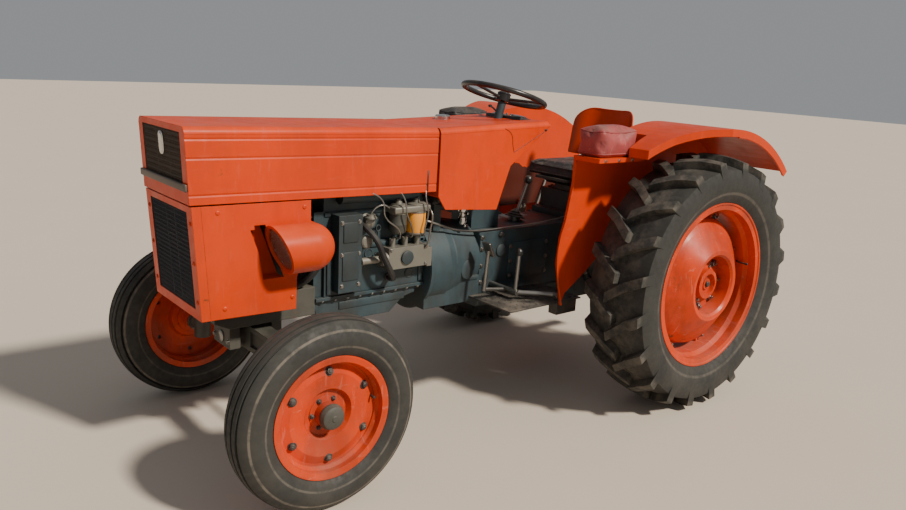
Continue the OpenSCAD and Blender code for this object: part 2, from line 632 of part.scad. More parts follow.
groove_d = 2.5;
hood_corner_r = 26;
groove_zs = [-42, -108, -236];
hood_profile = concat(
  [[half_w, -hood_side_h]],
  [for (i = [2 : -1 : 0], k = [1, 0, -1]) [half_w - (k == 0 ? groove_d : 0), groove_zs[i] - 6 * k]],
  arc([half_w - hood_corner_r, -hood_corner_r], hood_corner_r, 0, 90, 5),
  arc([hood_corner_r - half_w, -hood_corner_r], hood_corner_r, 90, 180, 5),
  [for (i = [0 : 2], k = [-1, 0, 1]) [(k == 0 ? groove_d : 0) - half_w, groove_zs[i] - 6 * k]],
  [[-half_w, -hood_side_h]]);
face_tilt = nose_rake;
grille_half_w = 182;
grille_top = -22;
grille_low = -205;
hinge_y = hood_rear_y + 4.5;
hinge_z = hood_rear_z - 4;
hinge_r = 4;
hinge_pin_r = 2;
hinge_x = 130;
hinge_l = 16;
module hood_frame() set_down() translate([0, hood_rear_y, hood_rear_z]) rotate([-hood_fall, 0, 0]) children();
// Half space behind the raked front face, set back by d
module behind_face(d) translate([0, d - hood_len, 0]) rotate([face_tilt, 0, 0])
  translate([-400, 0, -500]) cube([800, 1400, 700]);
module hood_shell() hood_frame() difference() {
  intersection() {
    rotate([90, 0, 0]) linear_extrude(hood_len + 40) polygon(hood_profile);
    behind_face(0);
  }
  // Inside, open at the rear and below
  intersection() {
    translate([sheet - half_w, -hood_len - 20, -hood_side_h - 50])
      cube([hood_w - 2 * sheet, hood_len + 40, hood_side_h + 50 - sheet]);
    behind_face(sheet);
  }
  // Window of the upper grille
  translate([-grille_half_w, -hood_len - 40, grille_low])
    cube([2 * grille_half_w, 120, grille_top - grille_low]);
}
module hood() color(orange) {
  hood_shell();
  // Hinge leaves under the rear edge, each with its pin
  set_down() both_sides() translate([hinge_x, hinge_y, hinge_z]) {
    rod_x(hinge_r, hinge_l);
    rod_x(hinge_pin_r, 2 * hinge_l);
    translate([0, -24, -hinge_r]) cube([hinge_l, 24, hinge_r]);
  }
}
bar_count = 9;
bar_pitch = 21;
module grille_bars() hood_frame() intersection() {
  union() {
    for (i = [0 : bar_count - 1])
      translate([-grille_half_w - 12, -hood_len - 20, grille_low + bar_pitch * i])
        cube([2 * grille_half_w + 24, 80, 7]);
    for (x = [-grille_half_w - 12, -64, 56, grille_half_w + 4])
      translate([x, -hood_len - 20, grille_low - 8]) cube([8, 80, grille_top - grille_low + 16]);
  }
  difference() {
    behind_face(sheet + gap);
    behind_face(sheet + gap + 12);
  }
}
module upper_grille() color(dark) {
  grille_bars();
  // Moulding across the hood's face, below the bars
  hood_frame() intersection() {
    translate([3 - half_w, -hood_len - 60, grille_low - 16]) cube([hood_w - 6, 120, 24]);
    difference() {
      behind_face(-9);
      behind_face(-gap);
    }
  }
}

// Nose below the hood

nose_top_z = 1036;
lower_half_w = 178;
lower_grille_z0 = 655;
lower_grille_z1 = 1012;
module nose_slab(y_off, d, z0, z1) polygon([[face_y(z0) + y_off, z0], [face_y(z1) + y_off, z1],
  [face_y(z1) + y_off + d, z1], [face_y(z0) + y_off + d, z0]]);
module nose_frame() color(orange) set_down() difference() {
  side_plate(-half_w, hood_w) nose_slab(0, nose_frame_d, nose_low_z, nose_top_z);
  side_plate(sheet - half_w, hood_w - 2 * sheet) nose_slab(sheet, 60, nose_low_z + sheet, nose_top_z - sheet);
  translate([-lower_half_w, face_top_y - 50, lower_grille_z0])
    cube([2 * lower_half_w, 160, lower_grille_z1 - lower_grille_z0]);
}
slat_pitch = 17;
module lower_grille() color(dark) set_down() intersection() {
  side_plate(-lower_half_w - 12, 2 * lower_half_w + 24)
    nose_slab(sheet + gap, 12, lower_grille_z0 - 12, lower_grille_z1 + 12);
  union() {
    for (z = [lower_grille_z0 - 12 : slat_pitch : lower_grille_z1])
      translate([-300, face_top_y - 60, z]) cube([600, 200, 6]);
    for (x = [-lower_half_w - 12, -44, 40, lower_half_w + 4])
      translate([x, face_top_y - 60, 600]) cube([8, 200, 460]);
  }
}
panel_front = nose_frame_d + gap;
panel_rear_y = -1763;
pod_y = -1792;
pod_z = 862;
module panel_outline() union() {
  polygon([[face_y(nose_low_z) + panel_front, nose_low_z], [face_y(nose_top_z) + panel_front, nose_top_z],
    [panel_rear_y, nose_top_z - 6], [panel_rear_y, 935], [-1821, 735], [-1825, nose_low_z - 8]]);
  translate([pod_y, pod_z]) circle(r = pod_r);
}
lamp_tilt = 20;
lamp_x = half_w + 45;
lamp_y = -1918;
lamp_r = pod_r - 6;
pocket_x = lamp_x - pod_r - 8;
// Everything behind the slanted plane of a headlight's face, set back by d
module behind_lamp(d) translate([0, lamp_y, pod_z]) rotate([lamp_tilt, 0, 0])
  translate([0, d, -300]) cube([500, 500, 600]);
module pod_solid() intersection() {
  translate([lamp_x, pod_y, pod_z]) {
    sphere(r = pod_r);
    translate([0, -220, 0]) rod_y(pod_r, 220);
  }
  behind_lamp(0);
}
// Pocket in the panel ahead of a headlight
module pocket(grow) difference() {
  side_plate(pocket_x - grow, 300) offset_pocket(grow);
  behind_lamp(0);
}
module offset_pocket(g) polygon([[-1994 - g, 952 + g], [-1960 - g, 745 - g], [-1850, 745 - g],
  [-1850, 952 + g]]);
module side_panel() color(orange) difference() {
  union() {
    side_plate(half_w - sheet, sheet) panel_outline();
    pod_solid();
    intersection() {
      pocket(4);
      translate([0, -2300, 500]) cube([half_w, 800, 800]);
    }
  }
  pocket(0);
  intersection() {
    translate([lamp_x, lamp_y - 100, pod_z]) rod_y(lamp_r, 160);
    difference() {
      behind_lamp(-60);
      behind_lamp(40);
    }
  }
}
module side_panel_left() set_down() side_panel();
module side_panel_right() set_down() mirror([1, 0, 0]) side_panel();
module headlights() color("#cfd3d0") set_down() both_sides() intersection() {
  translate([lamp_x, lamp_y - 100, pod_z]) rod_y(lamp_r - gap, 160);
  difference() {
    behind_lamp(6);
    behind_lamp(40 - gap);
  }
}

// Cowl over the tank, with the dash at its rear

cowl_y0 = -1152;
cowl_outline = [[cowl_y0, 1290], [cowl_y0, 1001], [-1111, 941], [-813, 919], [-742, 1115], [-497, 1296],
  [-513, 1314]];
module cowl() color(orange) set_down() {
  cowl_shell();
  both_sides() translate([hinge_x + hinge_l + gap, hinge_y, hinge_z]) difference() {
    union() {
      rod_x(hinge_r, hinge_l);
      translate([0, 0, -hinge_r]) cube([hinge_l, 8, 2 * hinge_r - 2.5]);
    }
    translate([-1, 0, 0]) rod_x(hinge_pin_r + pin_gap, hinge_l + 2);
  }
}
module cowl_shell() difference() {
  side_plate(-half_w, hood_w) polygon(cowl_outline);
  side_plate(sheet - half_w, hood_w - 2 * sheet) polygon([[cowl_y0 + sheet, 1285], [cowl_y0 + sheet, 900],
    [-820, 900], [-752, 1115], [-560, 1260], [-600, 1303]]);
  // Corners of the top
  for (f = [0, 1]) mirrored(f == 1) translate([half_w, cowl_y0 - 50, 1290 - 4])
    rotate([2.2, 0, 0]) rotate([0, 45, 0]) translate([-14, 0, -14]) cube([60, 760, 28]);
  translate(column_base) rotate([-column_lean, 0, 0]) cylinder(r = 22, h = 700);
}
pedal_y = -749;
pedal_z = 541;
clutch_x = 258;
rail_x = 318;
rail_y = -600;
module controls() color(steel) set_down() {
  // Clutch pedal on the left, two brake pedals on the right, on one cross shaft each
  for (x = [clutch_x, -205, -262]) translate([x, 0, 0]) {
    rod([0, pedal_y, pedal_z], [0, -892, 560], 9);
    rod([0, -890, 553], [0, -876, 740], 9);
    translate([-27, -874, 742]) rotate([25, 0, 0]) translate([0, -4, -30]) cube([54, 8, 70]);
  }
  translate([150 + gap, pedal_y, pedal_z]) rod_x(14, rail_x - 135);
  translate([-277, pedal_y, pedal_z]) rod_x(14, 127 - gap);
  // Bent lever on the left, and the foot rail out to the fender
  rod([rail_x, pedal_y, pedal_z - 6], [rail_x, pedal_y + 11, 728], 9);
  translate([rail_x, pedal_y + 11, 730]) sphere(r = 15);
  rod([rail_x, pedal_y, pedal_z], [fender_in_x - 28, rail_y, pedal_z - 6], 8);
  translate([fender_in_x - 34, rail_y, pedal_z - 6]) rod_x(11, 34 - gap);
  // Gear lever
  rod([0, -480, box_z + 5], [0, -400, 1000], 8);
  translate([0, -480, box_z]) cylinder(r = 30, h = 24);
  translate([0, -400, 1000]) sphere(r = 19);
}
plate_z = 500;
module footplates() color(dark) set_down() both_sides() {
  translate([165, -900, plate_z]) cube([fender_in_x - 165 - gap, 460, 6]);
  translate([150 + gap, -760, plate_z - 44]) cube([40, 50, 44]);
  // Bracket under the outer edge
  translate([fender_in_x - 52, -600, plate_z - 58]) cube([52 - gap, 130, 60]);
}

// Fenders: a flat inner plate, a shelf with a pad, and a curved crown over the tyre

cover_t = 5;
lip_h = 34;
shelf_lip_h = 20;
edge_w = 14;
shelf_z = 1187;
shelf_y0 = -572;
riser_y = -262;
flare_y = -375;
fender_a1 = 45;
front_edge = [[-588, 490], [-638, 698], [-627, 817], [-604, 889], [-585, 991], [shelf_y0, 1063],
  [shelf_y0, shelf_z]];
axle_c = [0, rear_axle_z];
shelf_x1 = fender_in_x + fender_shelf_w;
fender_x1 = fender_in_x + fender_w;
// Angle about the axle, from straight back, and height of a circle's point at a station
function angle_at(y, r) = acos(y / r);
function height_at(y, r) = rear_axle_z + sqrt(r * r - y * y);
module crown_outline(r0, r1) polygon(concat(
  arc(axle_c, r1, angle_at(flare_y, r1) + 6, fender_a1, 24),
  arc(axle_c, r0, fender_a1, angle_at(flare_y, r1) + 6, 24)));
module inner_outline() polygon(concat(
  front_edge, [[riser_y, shelf_z]],
  arc(axle_c, fender_r - 1, angle_at(riser_y, fender_r - 1), fender_a1, 24),
  [[420, 960], [260, 770], [-260, 770], [-420, 640], [-560, 545]]));
module front_flange() polygon(concat(front_edge,
  [for (i = [len(front_edge) - 1 : -1 : 0]) front_edge[i] + [cover_t, 0]]));
// Outer edge of the crown in plan, set in by d: step by the shelf, flare, full width
function crown_edge(d) = [[shelf_x1, flare_y + d], [shelf_x1 + 105 - d, flare_y + d],
  [shelf_x1 + 145 - d, flare_y + 125 + d / 2], [shelf_x1 + 210 - d, -110 + d / 2], [fender_x1 - 5 - d, 0],
  [fender_x1 - d, 50], [fender_x1 - d, 800]];
module plan_limit() linear_extrude(2000) polygon(concat(
  [[fender_in_x, 800], [fender_in_x, riser_y], [shelf_x1, riser_y]], crown_edge(0)));
module plan_lip() linear_extrude(2000) polygon(concat(crown_edge(0),
  [for (i = [6 : -1 : 0]) crown_edge(cover_t)[i]]));
module fender() color(orange) {
  side_plate(fender_in_x, cover_t) inner_outline();
  side_plate(fender_in_x, edge_w) front_flange();
  // Shelf with its folded lips
  translate([fender_in_x, shelf_y0, shelf_z - cover_t])
    cube([fender_shelf_w, riser_y - shelf_y0 + cover_t, cover_t]);
  translate([fender_in_x, shelf_y0, shelf_z - shelf_lip_h]) cube([fender_shelf_w, cover_t, shelf_lip_h - 1]);
  translate([shelf_x1 - cover_t, shelf_y0, shelf_z - shelf_lip_h])
    cube([cover_t, riser_y - shelf_y0, shelf_lip_h - 1]);
  // Step up to the crown: a cross plate, and a side plate beside the shelf
  translate([fender_in_x, riser_y, shelf_z - cover_t])
    cube([fender_shelf_w + 2, cover_t, height_at(riser_y, fender_r) - shelf_z + cover_t - 1]);
  side_plate(shelf_x1 - cover_t + 2, cover_t) intersection() {
    translate([flare_y, shelf_z - cover_t]) square([riser_y - flare_y + 2, 200]);
    translate(axle_c) circle(r = fender_r - 1, $fn = 180);
  }
  // Crown with its lip
  intersection() {
    side_plate(fender_in_x, fender_w + 10) crown_outline(fender_r - cover_t, fender_r);
    plan_limit();
  }
  intersection() {
    side_plate(fender_in_x, fender_w + 10) crown_outline(fender_r - lip_h, fender_r - 1);
    plan_lip();
  }
  // Bracket down to the axle's trumpet
  translate([fender_in_x - 60, -30, rear_axle_z + 74.4]) cube([60, 60, 12]);
  translate([fender_in_x - 10, -30, rear_axle_z + 74.4]) cube([10.1, 60, 120]);
}
module fender_left() set_down() fender();
module fender_right() set_down() mirror([1, 0, 0]) fender();
pad_over = 20;
pad_h = 135;
module fender_pads() color(vinyl) set_down() both_sides()
  translate([fender_in_x - pad_over, shelf_y0 + 12, shelf_z + gap])
    cube([fender_shelf_w + pad_over - 4, riser_y - shelf_y0 - 40, pad_h]);

// Seat

cushion_z = 1004;
cushion_h = 75;
back_lean = 10;
back_r = 300;
back_w = 400;
back_h = 262;
back_corner_r = 95;
back_t = 6;
// Frame of the back: its origin is the middle of the shell's lower edge, on its rear face
module back_frame() translate([0, 176, cushion_z + cushion_h + 8]) rotate([-back_lean, 0, 0]) children();
module seat_pan() color(dark) set_down() {
  side_plate(-110, 220) polygon([[-240, 990], [-190, 990], [-150, 960], [100, 960], [140, 990], [186, 990],
    [186, cushion_z], [-240, cushion_z]]);
  translate([-60, -140, 930 + gap]) cube([120, 200, 34]);
  // Strap that carries the back
  back_frame() translate([-55, gap, -98]) cube([110, 8, 300]);
}
module seat_cushion() color(dark) set_down() translate([-205, -235, cushion_z + gap])
  cube([410, 370, cushion_h]);
// Steel shell, curved in plan, with round upper corners
module seat_back() color(orange) set_down() back_frame() intersection() {
  translate([0, -back_r, 0]) difference() {
    cylinder(r = back_r, h = back_h, $fn = 96);
    translate([0, 0, -1]) cylinder(r = back_r - back_t, h = back_h + 2, $fn = 96);
  }
  cross_plate(-130, 140) union() {
    translate([-back_w / 2, 0]) square([back_w, back_h - back_corner_r]);
    translate([back_corner_r - back_w / 2, 0]) square([back_w - 2 * back_corner_r, back_h]);
    for (s = [-1, 1]) translate([s * (back_w / 2 - back_corner_r), back_h - back_corner_r])
      circle(r = back_corner_r);
  }
}

engine_block();
oil_sump();
cylinder_head();
timing_case();
cooling_fan();
dynamo_and_starter();
injection_pump();
fuel_filters();
exhaust();
radiator();
front_support();
front_axle();
knuckle_left();
knuckle_right();
tie_rod();
drop_arm();
drag_link();
steering_box();
steering_wheel();
clutch_housing();
gearbox();
rear_axle();
lift_housing();
lift_arms();
lift_rods();
lower_links();
drawbar();
pto_shaft();
hood();
upper_grille();
nose_frame();
lower_grille();
side_panel_left();
side_panel_right();
headlights();
cowl();
controls();
footplates();
fender_left();
fender_right();
fender_pads();
seat_pan();
seat_cushion();
seat_back();
rear_tyre_left();
rear_tyre_right();
rear_wheel_left();
rear_wheel_right();
front_tyre_left();
front_tyre_right();
front_wheel_left();
front_wheel_right();
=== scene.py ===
"""Looks of the small farm tractor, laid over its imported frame."""

import math

import bmesh
import bpy
from mathutils import Matrix, Vector, geometry
from mathutils.bvhtree import BVHTree


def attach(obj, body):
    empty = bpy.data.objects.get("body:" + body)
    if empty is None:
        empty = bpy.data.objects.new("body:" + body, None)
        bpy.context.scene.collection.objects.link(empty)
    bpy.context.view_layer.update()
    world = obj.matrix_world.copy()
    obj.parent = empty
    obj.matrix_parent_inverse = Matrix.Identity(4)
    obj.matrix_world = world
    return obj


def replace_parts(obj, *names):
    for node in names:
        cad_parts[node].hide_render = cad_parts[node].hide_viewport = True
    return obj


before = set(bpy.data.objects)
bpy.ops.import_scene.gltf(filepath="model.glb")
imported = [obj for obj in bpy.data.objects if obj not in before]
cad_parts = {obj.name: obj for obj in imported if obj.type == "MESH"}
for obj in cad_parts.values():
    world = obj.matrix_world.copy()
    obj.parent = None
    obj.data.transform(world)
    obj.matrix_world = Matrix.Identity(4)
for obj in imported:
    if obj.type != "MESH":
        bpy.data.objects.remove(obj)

bl_info = {
    "name": "Small Farm Tractor",
    "version": (1, 0, 0),
    "blender": (4, 5, 0),
    "location": "3D View > Sidebar > Tractor",
    "description": "Builds the finish, trim, upholstery and fittings of a small farm tractor",
    "category": "Object",
}

# Stations along Y are counted from the rear axle, in millimetres, as on the drawing, and a
# pair is a station and a height
SHIFT = 691.5
REAR_AXLE = (0, 606)
FRONT_AXLE = (-1920, 355)
REAR_TRACK = 743
FRONT_TRACK = 612
NOSE_RAKE = math.radians(3.75)
FACE_TOP = (-2243, 1311)
HOOD_REAR = (-1161, 1292)
HOOD_LENGTH = 1082
HOOD_FALL = math.radians(1)
HOOD_HALF = 225
GRILLE_SPLIT = 1036
KINGPIN_X = 470
STEERING_ARM_Y = -1770
CRANK_Z = 665
DYNAMO_X, DYNAMO_Z = -200, 752
PTO_Z = 560
# Place of the photograph's camera in metres, its focal length and its shift
PHOTO_PLACE = (2.8696, -2.5490, 1.5800)
PHOTO_LENS = 31.756
PHOTO_SHIFT = (-0.0094, 0.0005)
# Each side of the tractor, by the sign of its X
SIDES = {1: "left", -1: "right"}


def at(x, y, z):
    """A place on the drawing as a point in metres."""
    return Vector((x, y + SHIFT, z)) / 1000


def nose_y(z):
    """Station of the raked nose at a height."""
    return FACE_TOP[0] + (FACE_TOP[1] - z) * math.tan(NOSE_RAKE)


# Sizes and colours that a user would change


class TractorFinish(bpy.types.PropertyGroup):
    orange: bpy.props.FloatVectorProperty(
        name="Orange Enamel", description="Colour of the bodywork", subtype="COLOR", size=3,
        min=0, max=1, default=(0.72, 0.047, 0.0))
    faded: bpy.props.FloatVectorProperty(
        name="Faded Enamel", description="Colour of the bodywork where the sun has bleached it",
        subtype="COLOR", size=3, min=0, max=1, default=(0.76, 0.10, 0.02))
    engine: bpy.props.FloatVectorProperty(
        name="Engine Paint", description="Colour of the engine and gearbox castings",
        subtype="COLOR", size=3, min=0, max=1, default=(0.032, 0.066, 0.082))
    casting: bpy.props.FloatVectorProperty(
        name="Axle Castings", description="Colour of the front axle and hitch castings",
        subtype="COLOR", size=3, min=0, max=1, default=(0.07, 0.072, 0.06))
    rubber: bpy.props.FloatVectorProperty(
        name="Rubber", description="Colour of the tyres", subtype="COLOR", size=3,
        min=0, max=1, default=(0.015, 0.016, 0.015))
    dust: bpy.props.FloatVectorProperty(
        name="Dust", description="Colour of dry dust", subtype="COLOR", size=3,
        min=0, max=1, default=(0.34, 0.29, 0.23))
    rust: bpy.props.FloatVectorProperty(
        name="Rust", description="Colour of rust", subtype="COLOR", size=3,
        min=0, max=1, default=(0.13, 0.045, 0.018))
    vinyl: bpy.props.FloatVectorProperty(
        name="Vinyl", description="Colour of the seat covers", subtype="COLOR", size=3,
        min=0, max=1, default=(0.46, 0.075, 0.075))


class TractorFittings(bpy.types.PropertyGroup):
    bolt: bpy.props.FloatProperty(
        name="Bolt Head", description="Half the width of a common bolt head", unit="LENGTH",
        min=0.004, max=0.02, default=0.0095)
    hose: bpy.props.FloatProperty(
        name="Hose Radius", description="Radius of a coolant hose", unit="LENGTH",
        min=0.01, max=0.04, default=0.021)
    fuel_line: bpy.props.FloatProperty(
        name="Fuel Line Radius", description="Radius of an injection line", unit="LENGTH",
        min=0.002, max=0.006, default=0.0034)
    mesh_pitch: bpy.props.FloatProperty(
        name="Grille Pitch", description="Distance between two wires of the grille's mesh",
        unit="LENGTH", min=0.006, max=0.02, default=0.0082)
    cushion_swell: bpy.props.FloatProperty(
        name="Cushion Swell", description="Farthest that a cushion's cover swells",
        unit="LENGTH", min=0.002, max=0.02, default=0.013)


class TractorStage(bpy.types.PropertyGroup):
    floor: bpy.props.FloatVectorProperty(
        name="Floor", description="Colour of the floor", subtype="COLOR", size=3,
        min=0, max=1, default=(0.66, 0.57, 0.475))
    sun: bpy.props.FloatProperty(
        name="Key Light", description="Strength of the key light", min=0, max=20, default=4.7)
    sky: bpy.props.FloatProperty(
        name="Fill Light", description="Strength of the light from all round", min=0, max=5,
        default=0.3)
    azimuth: bpy.props.FloatProperty(
        name="Camera Azimuth", description="Turn of the camera round the tractor",
        subtype="ANGLE", default=math.radians(49.80))
    elevation: bpy.props.FloatProperty(
        name="Camera Elevation", description="Angle at which the camera looks down",
        subtype="ANGLE", default=math.radians(13.86))
    roll: bpy.props.FloatProperty(
        name="Camera Roll", description="Sideways lean of the camera", subtype="ANGLE",
        default=math.radians(3.07))


# Shader tools


def add(tree, kind, inputs=None, **settings):
    """A new shader node, with its sockets linked or set."""
    made = tree.nodes.new(kind)
    for name, value in settings.items():
        setattr(made, name, value)
    for key, value in (inputs or {}).items():
        if isinstance(value, bpy.types.NodeSocket):
            tree.links.new(value, made.inputs[key])
        else:
            made.inputs[key].default_value = value
    return made


def maths(tree, operation, *values, clamp=False):
    """One sum on sockets or numbers."""
    return add(tree, "ShaderNodeMath", dict(enumerate(values)), operation=operation,
               use_clamp=clamp).outputs[0]


def spread(tree, value, low, high, to_low=0.0, to_high=1.0):
    """A value eased from one range into another."""
    return add(tree, "ShaderNodeMapRange", {"Value": value, "From Min": low, "From Max": high,
               "To Min": to_low, "To Max": to_high}, interpolation_type="SMOOTHSTEP").outputs[0]


def tint(tree, factor, a, b):
    """Colour a turning into colour b by a factor."""
    if not isinstance(a, bpy.types.NodeSocket):
        a = (*a, 1)
    if not isinstance(b, bpy.types.NodeSocket):
        b = (*b, 1)
    return add(tree, "ShaderNodeMix", {0: factor, 6: a, 7: b}, data_type="RGBA",
               clamp_factor=True).outputs[2]


def shader_group(name, inputs, outputs):
    """An empty node group with named number sockets; returns its tree and its two ends."""
    tree = bpy.data.node_groups.new(name, "ShaderNodeTree")
    for label, value in inputs.items():
        tree.interface.new_socket(label, in_out="INPUT", socket_type="NodeSocketFloat").default_value = value
    for label in outputs:
        tree.interface.new_socket(label, in_out="OUTPUT", socket_type="NodeSocketFloat")
    return tree, tree.nodes.new("NodeGroupInput").outputs, tree.nodes.new("NodeGroupOutput").inputs


def place_group(tree, name, **inputs):
    """A shared effect placed in a material with its own values."""
    return add(tree, "ShaderNodeGroup", {k.replace("_", " ").title(): v for k, v in inputs.items()},
               node_tree=bpy.data.node_groups[name]).outputs


def object_noise(tree, scale, detail=4.0, rough=0.55, stretch=None):
    """Cloudy noise over the whole tractor, squeezed along an axis by stretch."""
    where = add(tree, "ShaderNodeTexCoord").outputs["Object"]
    if stretch:
        where = add(tree, "ShaderNodeMapping", {"Vector": where, "Scale": stretch}).outputs[0]
    return add(tree, "ShaderNodeTexNoise", {"Vector": where, "Scale": scale, "Detail": detail,
               "Roughness": rough}).outputs[0]


def facing(tree, axis):
    """How far a face looks along an axis, from -1 to 1."""
    normal = add(tree, "ShaderNodeNewGeometry").outputs["Normal"]
    return add(tree, "ShaderNodeSeparateXYZ", {0: normal}).outputs[axis]


def measures(tree):
    """X, Y and Z of a point on the tractor."""
    where = add(tree, "ShaderNodeTexCoord").outputs["Object"]
    return add(tree, "ShaderNodeSeparateXYZ", {0: where}).outputs


def put_out(tree, given, out, mask):
    """Puts a mask out of its group, at the group's amount."""
    tree.links.new(maths(tree, "MULTIPLY", mask, given["Amount"], clamp=True), out["Mask"])


def build_groups():
    """The effects that several finishes share."""
    # Bleached patches, strongest on faces that look up
    tree, given, out = shader_group("Sun Fade", {"Scale": 2.0, "Amount": 0.5}, ["Mask"])
    patches = spread(tree, object_noise(tree, given["Scale"], 5), 0.38, 0.66)
    top = spread(tree, facing(tree, "Z"), -0.2, 1.0, 0.35, 1.0)
    put_out(tree, given, out, maths(tree, "MULTIPLY", patches, top))

    # Dust that lies on ledges and is thrown up from the ground
    tree, given, out = shader_group(
        "Dust Film", {"Scale": 6.0, "Amount": 0.5, "Splash Height": 0.9}, ["Mask"])
    ledge = spread(tree, facing(tree, "Z"), 0.3, 1.0)
    high = maths(tree, "DIVIDE", measures(tree)["Z"], given["Splash Height"])
    low = maths(tree, "SUBTRACT", 1.0, high, clamp=True)
    cloud = spread(tree, object_noise(tree, given["Scale"], 8, 0.65), 0.32, 0.70)
    lie = maths(tree, "ADD", maths(tree, "MULTIPLY", ledge, 0.75), maths(tree, "MULTIPLY", low, 0.55))
    lie = maths(tree, "ADD", lie, 0.12)
    put_out(tree, given, out, maths(tree, "MULTIPLY", lie, cloud))

    # Bare metal along edges, broken up by grain
    tree, given, out = shader_group("Edge Wear", {"Width": 0.004, "Amount": 0.5, "Scale": 30.0}, ["Mask"])
    soft = add(tree, "ShaderNodeBevel", {"Radius": given["Width"]}, samples=4).outputs[0]
    sharp = add(tree, "ShaderNodeNewGeometry").outputs["Normal"]
    along = add(tree, "ShaderNodeVectorMath", {0: soft, 1: sharp}, operation="DOT_PRODUCT").outputs["Value"]
    edge = spread(tree, along, 0.995, 0.90)
    broken = spread(tree, object_noise(tree, given["Scale"], 5, 0.6), 0.42, 0.62)
    put_out(tree, given, out, maths(tree, "MULTIPLY", edge, broken))

    # Small chips and the rust that creeps out of them
    tree, given, out = shader_group("Paint Chips", {"Scale": 9.0, "Amount": 0.3}, ["Chip", "Stain"])
    field = object_noise(tree, given["Scale"], 9, 0.68)
    start = maths(tree, "SUBTRACT", 0.78, maths(tree, "MULTIPLY", given["Amount"], 0.2))
    past = maths(tree, "SUBTRACT", field, start)
    tree.links.new(spread(tree, past, 0.0, 0.012), out["Chip"])
    tree.links.new(spread(tree, past, -0.05, 0.01, 0.0, 0.75), out["Stain"])

    # Painted shade: near black on the faces of a panel that look at the tractor's middle, on all of them
    # close to the middle and on those below a height further out, where it stands in for the shadow inside
    # the fenders
    tree, given, out = shader_group("Painted Inner Shade", {"Amount": 0.9, "Height": 1.0}, ["Mask"])
    place = measures(tree)
    inwards = spread(tree, maths(tree, "MULTIPLY", facing(tree, "X"), place["X"]), -0.05, -0.15)
    near = spread(tree, maths(tree, "ABSOLUTE", place["X"]), 0.30, 0.28)
    ragged = maths(tree, "ADD", place["Z"], maths(tree, "MULTIPLY", object_noise(tree, 9.0, 4), 0.08))
    under = maths(tree, "LESS_THAN", ragged, maths(tree, "ADD", given["Height"], 0.04))
    both = maths(tree, "MULTIPLY", inwards, maths(tree, "MAXIMUM", near, under))
    put_out(tree, given, out, both)

    # Fine scratches along and across
    tree, given, out = shader_group("Scuffs", {"Scale": 10.0, "Amount": 0.4}, ["Mask"])
    fine = object_noise(tree, given["Scale"], 6, 0.6, (1.0, 9.0, 1.2))
    cross = object_noise(tree, given["Scale"], 6, 0.6, (8.0, 1.0, 6.0))
    both = maths(tree, "MAXIMUM", spread(tree, fine, 0.60, 0.68), spread(tree, cross, 0.62, 0.70))
    put_out(tree, given, out, both)

    # Oil and grime in runs and spots, stretched so that it runs down
    tree, given, out = shader_group("Grime", {"Scale": 5.0, "Amount": 0.5}, ["Mask"])
    runs = object_noise(tree, given["Scale"], 7, 0.65, (1.6, 1.6, 0.45))
    spots = object_noise(tree, maths(tree, "MULTIPLY", given["Scale"], 4.0), 5, 0.6)
    dark = spread(tree, maths(tree, "ADD", runs, maths(tree, "MULTIPLY", spots, 0.35)), 0.55, 0.82)
    put_out(tree, given, out, dark)

    # Skin of a sand casting
    tree, given, out = shader_group("Cast Skin", {"Scale": 260.0}, ["Height"])
    grains = object_noise(tree, given["Scale"], 3, 0.6)
    lumps = object_noise(tree, maths(tree, "MULTIPLY", given["Scale"], 0.08), 3, 0.5)
    tree.links.new(maths(tree, "ADD", maths(tree, "MULTIPLY", grains, 0.5), lumps), out[0])

    # Pressed sheet that has been leant on and dented a little
    tree, given, out = shader_group("Beaten Sheet", {"Scale": 2.6}, ["Height"])
    waves = object_noise(tree, given["Scale"], 2, 0.4)
    peel = object_noise(tree, 420.0, 2, 0.5)
    tree.links.new(maths(tree, "ADD", waves, maths(tree, "MULTIPLY", peel, 0.012)), out[0])


def blank_material(name, **sockets):
    """A material with its shader; returns the material, its tree and the shader's sockets."""
    material = bpy.data.materials.new(name)
    material.use_nodes = True
    tree = material.node_tree
    shader = tree.nodes["Principled BSDF"]
    for label, value in sockets.items():
        shader.inputs[label.replace("_", " ")].default_value = value
    return material, tree, shader.inputs


def finish_bump(tree, shader, height, strength, distance, round_edges=0.0):
    """Feeds a height into the shader, over edges that the eye sees as slightly rounded."""
    made = add(tree, "ShaderNodeBump", {"Strength": strength, "Distance": distance, "Height": height})
    if round_edges:
        soft = add(tree, "ShaderNodeBevel", {"Radius": round_edges}, samples=4)
        tree.links.new(soft.outputs[0], made.inputs["Normal"])
    tree.links.new(made.outputs[0], shader["Normal"])


def mottled(tree, colour, scale, detail, shade):
    """A colour that turns in patches into a darker or paler shade of itself."""
    return tint(tree, object_noise(tree, scale, detail), colour, [c * shade for c in colour])


def dusted(tree, shader, base, scale, amount, splash):
    """Lays dust over a colour and gives it to the shader; returns the mask of the dust."""
    film = place_group(tree, "Dust Film", scale=scale, amount=amount, splash_height=splash)["Mask"]
    dust = bpy.context.scene.tractor_finish.dust
    tree.links.new(tint(tree, film, base, dust), shader["Base Color"])
    return film


